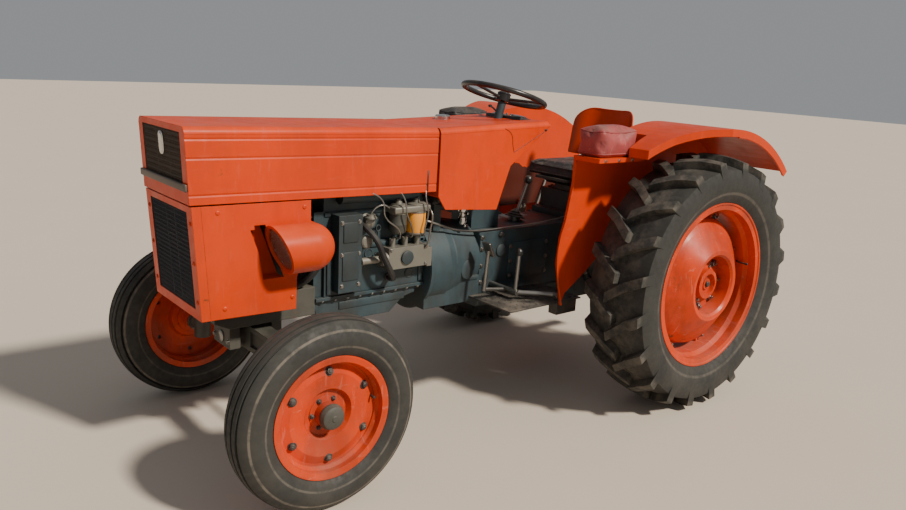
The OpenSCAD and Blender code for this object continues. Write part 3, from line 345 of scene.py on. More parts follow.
def enamel(name, colour, faded, fade=0.3, dust=0.08, chips=0.3, scuffs=0.07, grime=0.15, splash=0.9,
           inner_shade=0.9):
    """Sun-bleached enamel over pressed steel."""
    look = bpy.context.scene.tractor_finish
    material, tree, shader = blank_material(
        name, Coat_Weight=0.03, Coat_Roughness=0.3, Specular_IOR_Level=0.2)
    base = mottled(tree, colour, 1.3, 3, 0.86)
    base = tint(tree, place_group(tree, "Sun Fade", scale=2.2, amount=fade)["Mask"], base, faded)
    worn = place_group(tree, "Scuffs", scale=7.0, amount=scuffs)["Mask"]
    base = tint(tree, worn, base, [min(1, c * 0.8 + 0.16) for c in faded])
    chip = place_group(tree, "Paint Chips", scale=8.0, amount=chips)
    base = tint(tree, chip["Stain"], base, [c * 1.5 for c in look.rust])
    rim = place_group(tree, "Edge Wear", width=0.0035, amount=0.5, scale=26.0)["Mask"]
    bare = maths(tree, "MAXIMUM", chip["Chip"], rim)
    base = tint(tree, bare, base, look.rust)
    dirt = place_group(tree, "Grime", scale=3.2, amount=grime)["Mask"]
    base = tint(tree, dirt, base, (0.05, 0.03, 0.022))
    film = place_group(tree, "Dust Film", scale=5.0, amount=dust, splash_height=splash)["Mask"]
    base = tint(tree, film, base, look.dust)
    # Painted shade: inward-facing faces turn near black low down and near the middle, for the shadow inside
    # the fenders
    inner_shade_mask = place_group(tree, "Painted Inner Shade", amount=inner_shade)["Mask"]
    tree.links.new(tint(tree, inner_shade_mask, base, (0.022, 0.014, 0.012)), shader["Base Color"])
    patches = spread(tree, object_noise(tree, 14.0, 4), 0.3, 0.7, 0.30, 0.44)
    dull = maths(tree, "ADD", maths(tree, "MULTIPLY", film, 0.5), maths(tree, "MULTIPLY", bare, 0.35))
    tree.links.new(maths(tree, "ADD", dull, patches, clamp=True), shader["Roughness"])
    height = maths(tree, "SUBTRACT", place_group(tree, "Beaten Sheet", scale=2.6)["Height"],
                   maths(tree, "MULTIPLY", bare, 0.02))
    finish_bump(tree, shader, height, 0.55, 0.012, 0.0025)
    return material


def casting(name, colour, dust, grime=0.6, rust=0.35, rough=0.62):
    """Painted or bare casting with a sandy skin, oil and dirt."""
    look = bpy.context.scene.tractor_finish
    material, tree, shader = blank_material(name)
    base = mottled(tree, colour, 3.5, 5, 0.62)
    chip = place_group(tree, "Paint Chips", scale=6.0, amount=rust)
    base = tint(tree, chip["Stain"], base, look.rust)
    rim = place_group(tree, "Edge Wear", width=0.004, amount=0.35, scale=22.0)["Mask"]
    base = tint(tree, rim, base, (0.20, 0.17, 0.14))
    dirt = place_group(tree, "Grime", scale=4.0, amount=grime)["Mask"]
    base = tint(tree, dirt, base, (0.018, 0.016, 0.014))
    film = dusted(tree, shader, base, 7.0, dust, 1.0)
    dull = maths(tree, "SUBTRACT", maths(tree, "ADD", maths(tree, "MULTIPLY", film, 0.4), rough),
                 maths(tree, "MULTIPLY", dirt, 0.22), clamp=True)
    tree.links.new(dull, shader["Roughness"])
    height = maths(tree, "SUBTRACT", place_group(tree, "Cast Skin", scale=240.0)["Height"],
                   maths(tree, "MULTIPLY", chip["Chip"], 0.4))
    finish_bump(tree, shader, height, 0.5, 0.0016, 0.004)
    return material


def bare_metal(name, colour, rough=0.34, dust=0.25, rust=0.25, polish=1.0):
    """Worn steel or alloy with a trace of rust and dust."""
    look = bpy.context.scene.tractor_finish
    material, tree, shader = blank_material(name)
    base = mottled(tree, colour, 18.0, 5, 0.7)
    chip = place_group(tree, "Paint Chips", scale=11.0, amount=rust)
    base = tint(tree, chip["Stain"], base, look.rust)
    film = dusted(tree, shader, base, 9.0, dust, 0.8)
    cover = maths(tree, "MAXIMUM", chip["Stain"], film)
    bare = maths(tree, "SUBTRACT", polish, maths(tree, "MULTIPLY", cover, polish), clamp=True)
    tree.links.new(bare, shader["Metallic"])
    dull = maths(tree, "ADD", rough, maths(tree, "MULTIPLY", cover, 0.5), clamp=True)
    tree.links.new(dull, shader["Roughness"])
    finish_bump(tree, shader, object_noise(tree, 160.0, 4, 0.6), 0.2, 0.0006, 0.002)
    return material


def tyre_rubber(name, axle, tread_at, scuffs, dust):
    """Weathered rubber, dusty on the tread, with pale scuffed rings at given radii."""
    look = bpy.context.scene.tractor_finish
    material, tree, shader = blank_material(name)
    where = add(tree, "ShaderNodeTexCoord").outputs["Object"]
    hub = at(0, axle[0], axle[1])
    centred = add(tree, "ShaderNodeMapping", {"Vector": where, "Location": (0, -hub.y, -hub.z)}).outputs[0]
    flat = add(tree, "ShaderNodeVectorMath", {0: centred, 1: (0, 1, 1)}, operation="MULTIPLY").outputs[0]
    radius = add(tree, "ShaderNodeVectorMath", {0: flat}, operation="LENGTH").outputs["Value"]
    base = mottled(tree, look.rubber, 5.0, 6, 1.9)
    film = place_group(tree, "Dust Film", scale=8.0, amount=0.14, splash_height=1.2)["Mask"]
    grain = spread(tree, object_noise(tree, 16.0, 8, 0.7), 0.35, 0.68)
    tread = maths(tree, "MULTIPLY", spread(tree, radius, tread_at, tread_at + 0.03), grain)
    film = maths(tree, "MAXIMUM", film, maths(tree, "MULTIPLY", tread, dust))
    for middle, half, much in scuffs:
        away = maths(tree, "ABSOLUTE", maths(tree, "SUBTRACT", radius, middle))
        line = maths(tree, "MULTIPLY", spread(tree, away, half, half * 0.3), much)
        line = maths(tree, "MULTIPLY", line, spread(tree, grain, 0.0, 0.7, 0.45, 1.0))
        film = maths(tree, "MAXIMUM", film, line)
    tree.links.new(tint(tree, film, base, [c * 0.8 for c in look.dust]), shader["Base Color"])
    tree.links.new(spread(tree, object_noise(tree, 40.0, 5), 0.3, 0.7, 0.62, 0.88), shader["Roughness"])
    finish_bump(tree, shader, object_noise(tree, 90.0, 6, 0.7), 0.35, 0.0012, 0.0025)
    return material


def vinyl_cover(name, colour, wear=0.5):
    """Old vinyl with grain, fine cracks and dust."""
    material, tree, shader = blank_material(name, Specular_IOR_Level=0.4, Sheen_Weight=0.05)
    base = mottled(tree, colour, 4.0, 5, 0.66)
    rub = place_group(tree, "Scuffs", scale=9.0, amount=wear)["Mask"]
    base = tint(tree, rub, base, [min(1, c * 0.9 + 0.14) for c in colour])
    dirt = place_group(tree, "Grime", scale=7.0, amount=0.45)["Mask"]
    base = tint(tree, dirt, base, (0.05, 0.028, 0.024))
    dusted(tree, shader, base, 9.0, 0.28, 0.4)
    tree.links.new(spread(tree, object_noise(tree, 22.0, 4), 0.3, 0.7, 0.42, 0.66), shader["Roughness"])
    where = add(tree, "ShaderNodeTexCoord").outputs["Object"]
    leather = add(tree, "ShaderNodeTexVoronoi", {"Vector": where, "Scale": 300.0},
                  feature="DISTANCE_TO_EDGE").outputs[0]
    folds = object_noise(tree, 26.0, 4, 0.6)
    finish_bump(tree, shader, maths(tree, "ADD", maths(tree, "MULTIPLY", leather, 0.35), folds), 0.5, 0.0022)
    return material


def moulded(name, colour, rough, dust):
    """Rubber or plastic with a light grain."""
    material, tree, shader = blank_material(name)
    base = mottled(tree, colour, 12.0, 4, 1.7)
    film = dusted(tree, shader, base, 12.0, dust, 0.7)
    dull = maths(tree, "ADD", rough, maths(tree, "MULTIPLY", film, 0.35), clamp=True)
    tree.links.new(dull, shader["Roughness"])
    finish_bump(tree, shader, object_noise(tree, 300.0, 3, 0.5), 0.25, 0.0006, 0.0015)
    return material


def build_finishes():
    """Every material, by the name that the pieces use."""
    look = bpy.context.scene.tractor_finish
    orange, faded = tuple(look.orange), tuple(look.faded)
    made = {
        "body": enamel("orange enamel", orange, faded),
        "nose": enamel("bleached nose enamel", orange, faded, fade=0.42, dust=0.12, chips=0.4),
        "wheel": enamel("wheel enamel", [c * 0.94 for c in orange], faded, dust=0.24, chips=0.55,
                        scuffs=0.3, grime=0.4, splash=0.7, inner_shade=0.0),
        "engine": casting("engine paint", tuple(look.engine), dust=0.12),
        "axle": casting("axle casting", tuple(look.casting), dust=0.3, grime=0.4, rust=0.55),
        "dark": casting("dark paint", (0.018, 0.02, 0.023), dust=0.45, grime=0.2, rust=0.3, rough=0.48),
        "steel": bare_metal("worn steel", (0.34, 0.33, 0.31)),
        "alloy": bare_metal("cast alloy", (0.25, 0.24, 0.205), rough=0.5, dust=0.35, rust=0.3, polish=0.5),
        "bright": bare_metal("bright trim", (0.66, 0.66, 0.64), rough=0.16, dust=0.15, rust=0.15),
        "rusty": casting("rusted steel", (0.115, 0.055, 0.036), dust=0.4, grime=0.5, rust=0.9, rough=0.8),
        "rear_rubber": tyre_rubber("rear tyre rubber", REAR_AXLE, 0.545, ((0.44, 0.010, 0.25),), 0.34),
        "front_rubber": tyre_rubber("front tyre rubber", FRONT_AXLE, 0.340,
                                    ((0.318, 0.006, 0.5), (0.262, 0.006, 0.3)), 0.16),
        "vinyl": vinyl_cover("red pad vinyl", tuple(look.vinyl)),
        "black_vinyl": vinyl_cover("black seat vinyl", (0.022, 0.022, 0.025), 0.35),
        "wire": bare_metal("painted wire mesh", (0.045, 0.052, 0.075), rough=0.5, dust=0.25, rust=0.1,
                           polish=0.2),
        "reflector": bare_metal("silvered bowl", (0.80, 0.72, 0.66), rough=0.45, dust=0.2, rust=0.0,
                                polish=0.35),
        "hose": moulded("hose rubber", (0.012, 0.012, 0.013), 0.5, 0.35),
        "plastic": moulded("black plastic", (0.012, 0.012, 0.013), 0.32, 0.22),
        "amber": moulded("amber bowl", (0.62, 0.25, 0.03), 0.22, 0.3),
        "trim": bare_metal("grey moulding", (0.15, 0.12, 0.10), rough=0.5, dust=0.4, rust=0.2, polish=0.4),
    }
    glass, tree, shader = blank_material("lamp glass", Transmission_Weight=1.0, IOR=1.46, Coat_Weight=0.3)
    where = add(tree, "ShaderNodeTexCoord").outputs["Object"]
    ribs = add(tree, "ShaderNodeTexWave", {"Vector": where, "Scale": 42.0}, bands_direction="X").outputs[1]
    tree.links.new(spread(tree, object_noise(tree, 30.0, 5), 0.4, 0.75, 0.04, 0.32), shader["Roughness"])
    finish_bump(tree, shader, ribs, 0.6, 0.002)
    made["glass"] = glass
    return made


FINISH_OF = {
    "body": ("hood", "cowl", "fender_left", "fender_right", "seat_back"),
    "nose": ("nose_frame", "side_panel_left", "side_panel_right"),
    "wheel": ("rear_wheel_left", "rear_wheel_right", "front_wheel_left", "front_wheel_right"),
    "engine": ("engine_block", "oil_sump", "cylinder_head", "timing_case", "clutch_housing", "gearbox",
               "rear_axle", "lift_housing", "steering_box"),
    "axle": ("front_support", "front_axle", "knuckle_left", "knuckle_right", "drop_arm", "lift_arms",
             "lower_links", "drawbar"),
    "dark": ("upper_grille", "lower_grille", "cooling_fan", "dynamo_and_starter", "radiator", "footplates",
             "seat_pan"),
    "steel": ("tie_rod", "drag_link", "lift_rods", "pto_shaft", "controls"),
    "alloy": ("injection_pump",),
    "amber": ("fuel_filters",),
    "rusty": ("exhaust",),
    "plastic": ("steering_wheel",),
    "glass": ("headlights",),
    "black_vinyl": ("seat_cushion",),
    "vinyl": ("fender_pads",),
    "rear_rubber": ("rear_tyre_left", "rear_tyre_right"),
    "front_rubber": ("front_tyre_left", "front_tyre_right"),
}
FINISH = {}


class TRACTOR_OT_paint(bpy.types.Operator):
    """Gives every CAD node its weathered finish"""
    bl_idname = "tractor.paint"
    bl_label = "Paint and Weather"

    def execute(self, context):
        build_groups()
        FINISH.update(build_finishes())
        left = set(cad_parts)
        for finish, nodes in FINISH_OF.items():
            for node in nodes:
                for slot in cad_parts[node].material_slots:
                    slot.material = FINISH[finish]
                left.discard(node)
        if left:
            raise RuntimeError("no finish for " + ", ".join(sorted(left)))
        return {"FINISHED"}


# Modelling tools

# Working frames: the drawing, the hood's own frame, its raked face, and the nose below it
DRAWING = Matrix.Translation((0, SHIFT / 1000, 0))
HOOD = (DRAWING @ Matrix.Translation((0, HOOD_REAR[0] / 1000, HOOD_REAR[1] / 1000))
        @ Matrix.Rotation(-HOOD_FALL, 4, "X"))
FACE = HOOD @ Matrix.Translation((0, -HOOD_LENGTH / 1000, 0)) @ Matrix.Rotation(NOSE_RAKE, 4, "X")
NOSE = (DRAWING @ Matrix.Translation((0, nose_y(GRILLE_SPLIT) / 1000, GRILLE_SPLIT / 1000))
        @ Matrix.Rotation(NOSE_RAKE, 4, "X"))


# A bolt's mesh by its size, made once and placed many times
BOLTS = {}


def spot(origin, axis=(0, 0, 1), place=DRAWING):
    """A working frame at a place in millimetres, with its Z along an axis."""
    lean = Vector((0, 0, 1)).rotation_difference(Vector(axis))
    return place @ Matrix.Translation(Vector(origin) / 1000) @ lean.to_matrix().to_4x4()


def ring(count, radius, height, start=0.0):
    """Places round a circle, from a start angle in degrees."""
    angles = [math.radians(start) + math.tau * i / count for i in range(count)]
    return [(radius * math.cos(a), radius * math.sin(a), height) for a in angles]


def joined(bm, part, place):
    """Adds a finished part to a piece, in its place."""
    mesh = bpy.data.meshes.new("part")
    part.to_mesh(mesh)
    part.free()
    mesh.transform(place)
    bm.from_mesh(mesh)
    bpy.data.meshes.remove(mesh)


def round_off(bm, verts, width, segments):
    """Rounds the sharp edges of new geometry."""
    edges = {edge for vert in verts for edge in vert.link_edges
             if edge.is_manifold and abs(edge.calc_face_angle()) > 0.5}
    bmesh.ops.bevel(bm, geom=list(edges), offset=width / 1000, offset_type="OFFSET", segments=segments,
                    profile=0.5, affect="EDGES", material=-1)


def block(bm, centre, size, rounding=1.5, place=DRAWING, segments=2, corner=0):
    """A rounded block; corner rounds its four edges along Y first, as on a plate."""
    part = bmesh.new()
    stretch = Matrix.Diagonal((*[s / 1000 for s in size], 1))
    made = bmesh.ops.create_cube(part, size=1, matrix=stretch)["verts"]
    if corner:
        edges = {edge for vert in made for edge in vert.link_edges
                 if abs((edge.verts[0].co - edge.verts[1].co).normalized().y) > 0.99}
        made = bmesh.ops.bevel(part, geom=list(edges), offset=corner / 1000, offset_type="OFFSET", segments=5,
                               profile=0.5, affect="EDGES", material=-1)["verts"]
    round_off(part, made, rounding, segments)
    joined(bm, part, place @ Matrix.Translation(Vector(centre) / 1000))


def turned(bm, outline, place=DRAWING, steps=24, closed=False):
    """A turned shape about the frame's Z, from an outline in (radius, height)."""
    part = bmesh.new()
    chain = [part.verts.new((radius / 1000, 0, height / 1000)) for radius, height in outline]
    ahead = chain[1:] + chain[:1] if closed else chain[1:]
    edges = [part.edges.new(pair) for pair in zip(chain, ahead)]
    bmesh.ops.spin(part, geom=chain + edges, cent=(0, 0, 0), axis=(0, 0, 1), angle=math.tau, steps=steps,
                   use_merge=True)
    bmesh.ops.remove_doubles(part, verts=part.verts, dist=1e-6)
    joined(bm, part, place)


def rod(bm, start, end, radius, place=DRAWING, sides=10):
    """A straight rod between two points."""
    a, b = Vector(start), Vector(end)
    part = bmesh.new()
    bmesh.ops.create_cone(part, cap_ends=True, segments=sides, radius1=radius / 1000,
                          radius2=radius / 1000, depth=(b - a).length / 1000)
    turn = (b - a).to_track_quat("Z", "Y").to_matrix().to_4x4()
    joined(bm, part, place @ Matrix.Translation((a + b) / 2000) @ turn)


def bolt(bm, origin, axis=(0, 0, 1), half=None, place=DRAWING, stud=0.0):
    """A hexagon head on its washer, or a nut with the end of its stud."""
    half = half or bpy.context.scene.tractor_fittings.bolt * 1000
    if (half, stud) not in BOLTS:
        part, height, washer = bmesh.new(), half * 0.75, 1.6
        seat = Matrix.Translation((0, 0, (washer + height / 2) / 1000))
        head = bmesh.ops.create_cone(part, cap_ends=True, segments=6, radius1=half / 1000,
                                     radius2=half / 1000, depth=height / 1000, matrix=seat)["verts"]
        round_off(part, head, half * 0.1, 1)
        flat = Matrix.Identity(4)
        turned(part, [(0, -1), (half * 1.35, -1), (half * 1.35, washer), (0, washer)], flat, 16)
        if stud:
            rod(part, (0, 0, 1), (0, 0, washer + height + stud), half * 0.5, flat)
        BOLTS[half, stud] = bpy.data.meshes.new("bolt")
        part.to_mesh(BOLTS[half, stud])
        part.free()
    mesh = BOLTS[half, stud].copy()
    mesh.transform(spot(origin, axis, place))
    bm.from_mesh(mesh)
    bpy.data.meshes.remove(mesh)


def piped(bm, routes, place=DRAWING, smooth=3, closed=False):
    """Bent pipes, hoses and cords of piping, from routes of (radius, points)."""
    for radius, points in routes:
        curve = bpy.data.curves.new("pipe", "CURVE")
        curve.dimensions = "3D"
        curve.bevel_depth = radius / 1000
        curve.bevel_resolution = smooth
        curve.resolution_u = 6
        curve.use_fill_caps = True
        line = curve.splines.new("BEZIER")
        line.bezier_points.add(len(points) - 1)
        line.use_cyclic_u = closed
        for knot, point in zip(line.bezier_points, points):
            knot.co = place @ (Vector(point) / 1000)
            knot.handle_left_type = knot.handle_right_type = "AUTO"
        holder = bpy.data.objects.new("pipe", curve)
        mesh = bpy.data.meshes.new_from_object(holder)
        bm.from_mesh(mesh)
        bpy.data.objects.remove(holder)
        bpy.data.curves.remove(curve)
        bpy.data.meshes.remove(mesh)


def clip(bm, origin, axis, radius):
    """A worm-drive clip round a hose."""
    seat = spot(origin, axis)
    band = [(radius - 1, -6), (radius + 1.6, -6), (radius + 2, 0), (radius + 1.6, 6), (radius - 1, 6)]
    turned(bm, band, seat, 24, True)
    block(bm, (0, radius + 5, 0), (16, 9, 11), 1.5, seat)


def fitted(name, bm, body, finish):
    """The finished piece, in its place and on its body."""
    bmesh.ops.recalc_face_normals(bm, faces=bm.faces)
    mesh = bpy.data.meshes.new(name)
    bm.to_mesh(mesh)
    bm.free()
    mesh.polygons.foreach_set("use_smooth", [True] * len(mesh.polygons))
    mesh.set_sharp_from_angle(angle=math.radians(35))
    mesh.materials.append(FINISH[finish])
    piece = bpy.data.objects.new(name, mesh)
    bpy.context.collection.objects.link(piece)
    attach(piece, body)
    return piece


# Pieces


class TRACTOR_OT_wheels(bpy.types.Operator):
    """Nuts, caps and valves of the four wheels"""
    bl_idname = "tractor.wheels"
    bl_label = "Wheel Fittings"

    def execute(self, context):
        for side, name in SIDES.items():
            hub = spot((side * REAR_TRACK, *REAR_AXLE), (side, 0, 0))
            bm = bmesh.new()
            for place in ring(8, 118, 58):
                bolt(bm, place, (0, 0, 1), 15, hub, 9)
            for place in ring(8, 324, 10, 22.5):
                bolt(bm, place, (0, 0, 1), 12, hub, 12)
            for place in ring(8, 83, 73.5, 22.5):
                bolt(bm, place, (0, 0, 1), 7, hub)
            fitted("rear_wheel_bolts_" + name, bm, "rear_wheel_" + name, "steel")
            bm = bmesh.new()
            self.valve(bm, hub, 347, 30, 96)
            turned(bm, [(0, 93), (14, 93), (14, 99), (11, 103), (0, 104)], hub)
            fitted("rear_wheel_valve_" + name, bm, "rear_wheel_" + name, "hose")

            hub = spot((side * FRONT_TRACK, *FRONT_AXLE), (side, 0, 0))
            bm = bmesh.new()
            turned(bm, [(0, 40), (45.5, 40), (47, 44), (47, 50), (43.5, 56), (41, 64), (34, 69), (12, 71.5),
                        (10, 74), (0, 74)], hub, 40)
            fitted("front_hub_cap_" + name, bm, "front_wheel_" + name, "axle")
            bm = bmesh.new()
            for x, y, z in ring(6, 162, 26):
                bolt(bm, (x, y, z), (x * 0.0023, y * 0.0023, 1), 12.5, hub, 3)
            for place in ring(6, 55, 7, 30):
                bolt(bm, place, (0, 0, 1), 7.5, hub, 5)
            self.valve(bm, hub, 193, 8, 44)
            fitted("front_wheel_bolts_" + name, bm, "front_wheel_" + name, "dark")
        return {"FINISHED"}

    def valve(self, bm, hub, radius, low, high):
        """Valve stem from the rim's channel, bent outwards, with its cap."""
        place = hub @ Matrix.Rotation(math.radians(100), 4, "Z")
        piped(bm, [(4, [(radius, 0, low), (radius - 12, 0, low + 9), (radius - 17, 0, high - 14),
                        (radius - 17, 0, high)])], place)
        turned(bm, [(0, 0), (5.5, 0), (5.5, 12), (4, 14), (0, 14)],
               place @ Matrix.Translation(((radius - 17) / 1000, 0, (high - 8) / 1000)), 10)


class TRACTOR_OT_grilles(bpy.types.Operator):
    """Wire meshes, moulding, bare plate and screws of the nose"""
    bl_idname = "tractor.grilles"
    bl_label = "Grilles and Nose Trim"

    def execute(self, context):
        pitch = context.scene.tractor_fittings.mesh_pitch * 1000
        for name, place, body, half, low, high in (
                ("upper_grille_mesh", FACE, "hood_lid", 181.5, -204.5, -22.5),
                ("lower_grille_mesh", NOSE, "chassis", 177.5, -381, -24.5)):
            bm = bmesh.new()
            across = round(2 * half / pitch)
            for i in range(across + 1):
                x = half * (2 * i / across - 1)
                rod(bm, (x, 3.0, low), (x, 3.0, high), 0.9, place, 6)
            up = round((high - low) / pitch)
            for i in range(up + 1):
                z = low + (high - low) * i / up
                rod(bm, (-half, 4.6, z), (half, 4.6, z), 0.9, place, 6)
            fitted(name, bm, body, "trim" if body == "hood_lid" else "wire")

        # Grille moulding, rounded over the hood's face
        bm = bmesh.new()
        block(bm, (0, -5.2, -209), (446, 11.6, 27), 4.5, FACE, 3)
        fitted("hood_moulding", bm, "hood_lid", "trim")

        # Plain upright plate in the middle of the upper grille
        bm = bmesh.new()
        block(bm, (0, 0.5, -76), (46, 4.4, 84), 0.9, FACE, 2, 20)
        block(bm, (0, -2.2, -76), (34, 2, 72), 0.7, FACE, 2, 15)
        fitted("hood_plate", bm, "hood_lid", "bright")

        bm = bmesh.new()
        for x in (-203, 203):
            for z in (-62, -205, -350):
                self.screw(bm, (x, 0, z), (0, -1, 0), NOSE)
        for side in SIDES:
            for y, z in ((-2130, 1010), (-1790, 1006), (-1840, 660), (-2110, 655)):
                self.screw(bm, (side * HOOD_HALF, y, z), (side, 0, 0), DRAWING)
        fitted("nose_screws", bm, "chassis", "nose")

        # Slit at the rear of each of the hood's sides
        bm = bmesh.new()
        for side in SIDES:
            block(bm, (side * (HOOD_HALF + 0.2), -1212, 1073), (1.2, 8, 88), 0.5)
        fitted("hood_slits", bm, "hood_lid", "dark")

        # Rounded corners along the hood's and the cowl's top
        inner, drop, bend = 199, 26, 26.3
        for name, body, place, length, rise in (
                ("hood_corners", "hood_lid", HOOD @ Matrix.Translation((0, -1.0805, 0)), 1080, 0),
                ("cowl_corners", "chassis", DRAWING @ Matrix.Translation((0, -1.152, 1.290)), 642, 24.2)):
            bm = bmesh.new()
            for side in (-1, 1):
                part = bmesh.new()
                arc = [part.verts.new((side * (inner + bend * math.cos(a)) / 1000, 0,
                                       (bend * math.sin(a) - drop) / 1000))
                       for a in (math.radians(10 * i) for i in range(10))]
                edges = [part.edges.new(pair) for pair in zip(arc, arc[1:])]
                made = bmesh.ops.extrude_edge_only(part, edges=edges)["geom"]
                bmesh.ops.translate(part, vec=(0, length / 1000, rise / 1000),
                                    verts=[item for item in made if isinstance(item, bmesh.types.BMVert)])
                for face in part.faces:
                    outwards = face.calc_center_median() - Vector((side * inner, 0, -drop)) / 1000
                    if outwards.dot(face.normal) < 0:
                        face.normal_flip()
                bmesh.ops.solidify(part, geom=list(part.faces), thickness=0.003)
                joined(bm, part, place)
            fitted(name, bm, body, "body")
        return {"FINISHED"}

    def screw(self, bm, origin, axis, place):
        """A domed head with a hollow in its middle."""
        turned(bm, [(0, -1), (9, -1), (8.6, 1.4), (6, 3.4), (2.2, 4), (2.2, 2.6), (0, 2.6)],
               spot(origin, axis, place), 16)


class TRACTOR_OT_headlights(bpy.types.Operator):
    """Two round headlights: bezel, reflector, bulb and ribbed lens"""
    bl_idname = "tractor.headlights"
    bl_label = "Headlights"

    def execute(self, context):
        bezels, bowls, lenses = bmesh.new(), bmesh.new(), bmesh.new()
        for side in SIDES:
            lamp = (spot((side * 270, -1918, 862)) @ Matrix.Rotation(math.radians(110), 4, "X")
                    @ Matrix.Diagonal((1, 1.064, 1, 1)))
            turned(bezels, [(78.5, -8), (80, -2), (83, 1.8), (85.6, 1.2), (86.6, -3), (86.6, -10), (79, -12)],
                   lamp, 64, True)
            turned(bowls, [(0, -37.6), (13, -37), (34, -34), (56, -27), (72, -18), (79, -11), (80.4, -11.6),
                           (73.4, -19.4), (57, -28.4), (34.6, -35.4), (13.2, -38.6), (0, -39.2)], lamp, 48)
            turned(bowls, [(0, -12), (5, -13), (9, -18), (9, -25), (6, -31), (6, -38), (0, -38)], lamp, 20)
            turned(lenses, [(0, 1.5), (26, 0.8), (52, -1.6), (70, -5), (79, -8.6), (79, -11), (70, -8),
                            (52, -4.6), (26, -2.2), (0, -1.5)], lamp, 64)
        fitted("headlight_bezels", bezels, "chassis", "nose")
        fitted("headlight_bowls", bowls, "chassis", "reflector")
        lens = fitted("headlight_lenses", lenses, "chassis", "glass")
        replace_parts(lens, "headlights")
        return {"FINISHED"}


class TRACTOR_OT_engine(bpy.types.Operator):
    """Belt, hoses, fuel lines, filters, caps and bolts of the engine"""
    bl_idname = "tractor.engine"
    bl_label = "Engine Fittings"

    def execute(self, context):
        fittings = context.scene.tractor_fittings
        self.belt()
        self.filters()

        # Injection lines from the pump's outlets, out round the filters and in to the injectors
        bm = bmesh.new()
        for i in range(3):
            out, home = -1352 + 64 * i, -1530 + 155 * i
            mid = (out + home) / 2
            piped(bm, [(fittings.fuel_line * 1000, [
                (180, out, 824), (184, out, 835), (205, out, 838), (229, out, 842), (238, out - 4, 870),
                (238, mid + 10, 940), (230, mid, 1005), (204, home + 10, 1056), (160, home, 1076),
                (122, home, 1078), (100, home, 1070), (98, home, 1058)])])
            turned(bm, [(0, 0), (13, 0), (13, 5), (8.5, 8), (8.5, 22), (5.5, 25), (5.5, 32), (0, 32)],
                   spot((98, home, 1049)), 14)
            bolt(bm, (180, out, 822), (0, 0, 1), 8.5)
        # Low-pressure lines between lift pump, filters and pump
        piped(bm, [(4, [(168, -1456, 940), (170, -1430, 966), (176, -1395, 974), (178, -1368, 960)]),
                   (4, [(200, -1196, 955), (232, -1190, 940), (236, -1196, 860), (228, -1204, 796),
                        (212, -1210, 775)]),
                   (3.2, [(98, -1530, 1072), (84, -1500, 1084), (84, -1300, 1084), (98, -1220, 1072)])])
        fitted("fuel_lines", bm, "chassis", "steel")

        bm = bmesh.new()
        hose = fittings.hose * 1000
        # Top hose, hose from the radiator's foot, the one beside the pump, and a thin one by the head
        piped(bm, [
            (hose, [(40, -1820, 1168), (40, -1775, 1169), (37, -1715, 1138), (32, -1672, 1094),
                    (30, -1640, 1072)]),
            (19, [(140, -1822, 676), (143, -1792, 680), (166, -1752, 705), (184, -1712, 764),
                  (172, -1688, 822), (134, -1681, 838)]),
            (13, [(126, -1494, 905), (196, -1487, 884), (234, -1465, 842), (240, -1431, 768),
                  (238, -1398, 708), (214, -1366, 668), (148, -1352, 654)]),
            (6, [(60, -1640, 1052), (110, -1600, 1085), (120, -1500, 1090), (92, -1420, 1066)])])
        fitted("hoses", bm, "chassis", "hose")

        bm = bmesh.new()
        for origin, axis, radius in (
                ((40, -1806, 1168.5), (0, 1, 0), hose), ((31, -1656, 1082), (0, 1, -0.7), hose),
                ((141, -1810, 677.5), (0, 1, 0), 19), ((146, -1683, 834), (1, 0.2, -0.4), 19),
                ((140, -1493, 901), (1, 0.1, -0.3), 13), ((160, -1353.5, 656), (1, -0.2, 0.2), 13)):
            clip(bm, origin, axis, radius)
        # Water outlet, sediment bowl's head and other bright parts
        turned(bm, [(0, -26), (30, -26), (30, -18), (21, -12), (19, 10), (0, 10)],
               spot((30, -1632, 1075)), 24)
        turned(bm, [(0, 0), (33, 0), (33, 9), (24, 12), (21, 26), (24, 40), (15, 46), (0, 47)],
               spot((128, -1456, 905), (1, 0, 0)))
        turned(bm, [(0, 0), (26, 0), (26, 6), (19, 12), (19, 18), (0, 20)], spot((170, -1456, 922)), 20)
        turned(bm, [(0, 0), (17, 0), (17, 52), (25, 56), (27, 62), (27, 72), (21, 77), (0, 78)],
               spot((126, -1489, 832), (1, 0, 0)))
        turned(bm, [(0, 0), (24, 0), (24, 7), (17, 10), (15, 16), (0, 17)], spot((0, -1340, 1119)), 24)
        turned(bm, [(0, -4), (34, -4), (34, 4), (30, 9), (12, 12), (0, 12)], spot((0, -1868, 1231)), 32)
        fitted("engine_bright_parts", bm, "chassis", "alloy")

        # Fuel tap and sediment bowl under the tank, with the pipe that runs back along the gearbox
        bm = bmesh.new()
        turned(bm, [(0, 0), (15, 0), (15, -20), (21, -26), (21, -38), (13, -44), (13, -60), (19, -64),
                    (20, -86), (14, -96), (0, -98)], spot((150, -948, 946)), 20)
        block(bm, (172, -948, 905), (34, 9, 12), 2)
        block(bm, (150, -931, 842), (22, 22, 12), 2)
        fitted("fuel_tap", bm, "chassis", "bright")
        bm = bmesh.new()
        piped(bm, [(5, [(110, -1182, 868), (150, -1168, 884), (168, -1120, 872), (164, -1040, 842),
                        (156, -940, 818), (152, -850, 809), (151, -700, 807), (146, -480, 808),
                        (130, -280, 818), (120, -186, 826)])])
        fitted("oil_pipe", bm, "chassis", "steel")
        bm = bmesh.new()
        block(bm, (0, -984, 1066), (404, 296, 204), 18, DRAWING, 4)
        for side in SIDES:
            block(bm, (side * 150, -984, 961), (26, 300, 12), 2)
        turned(bm, [(0, 0), (19, 0), (19, 22), (0, 22)], spot((150, -948, 946)), 20)
        fitted("fuel_tank", bm, "chassis", "dark")

        self.bolts()
        return {"FINISHED"}

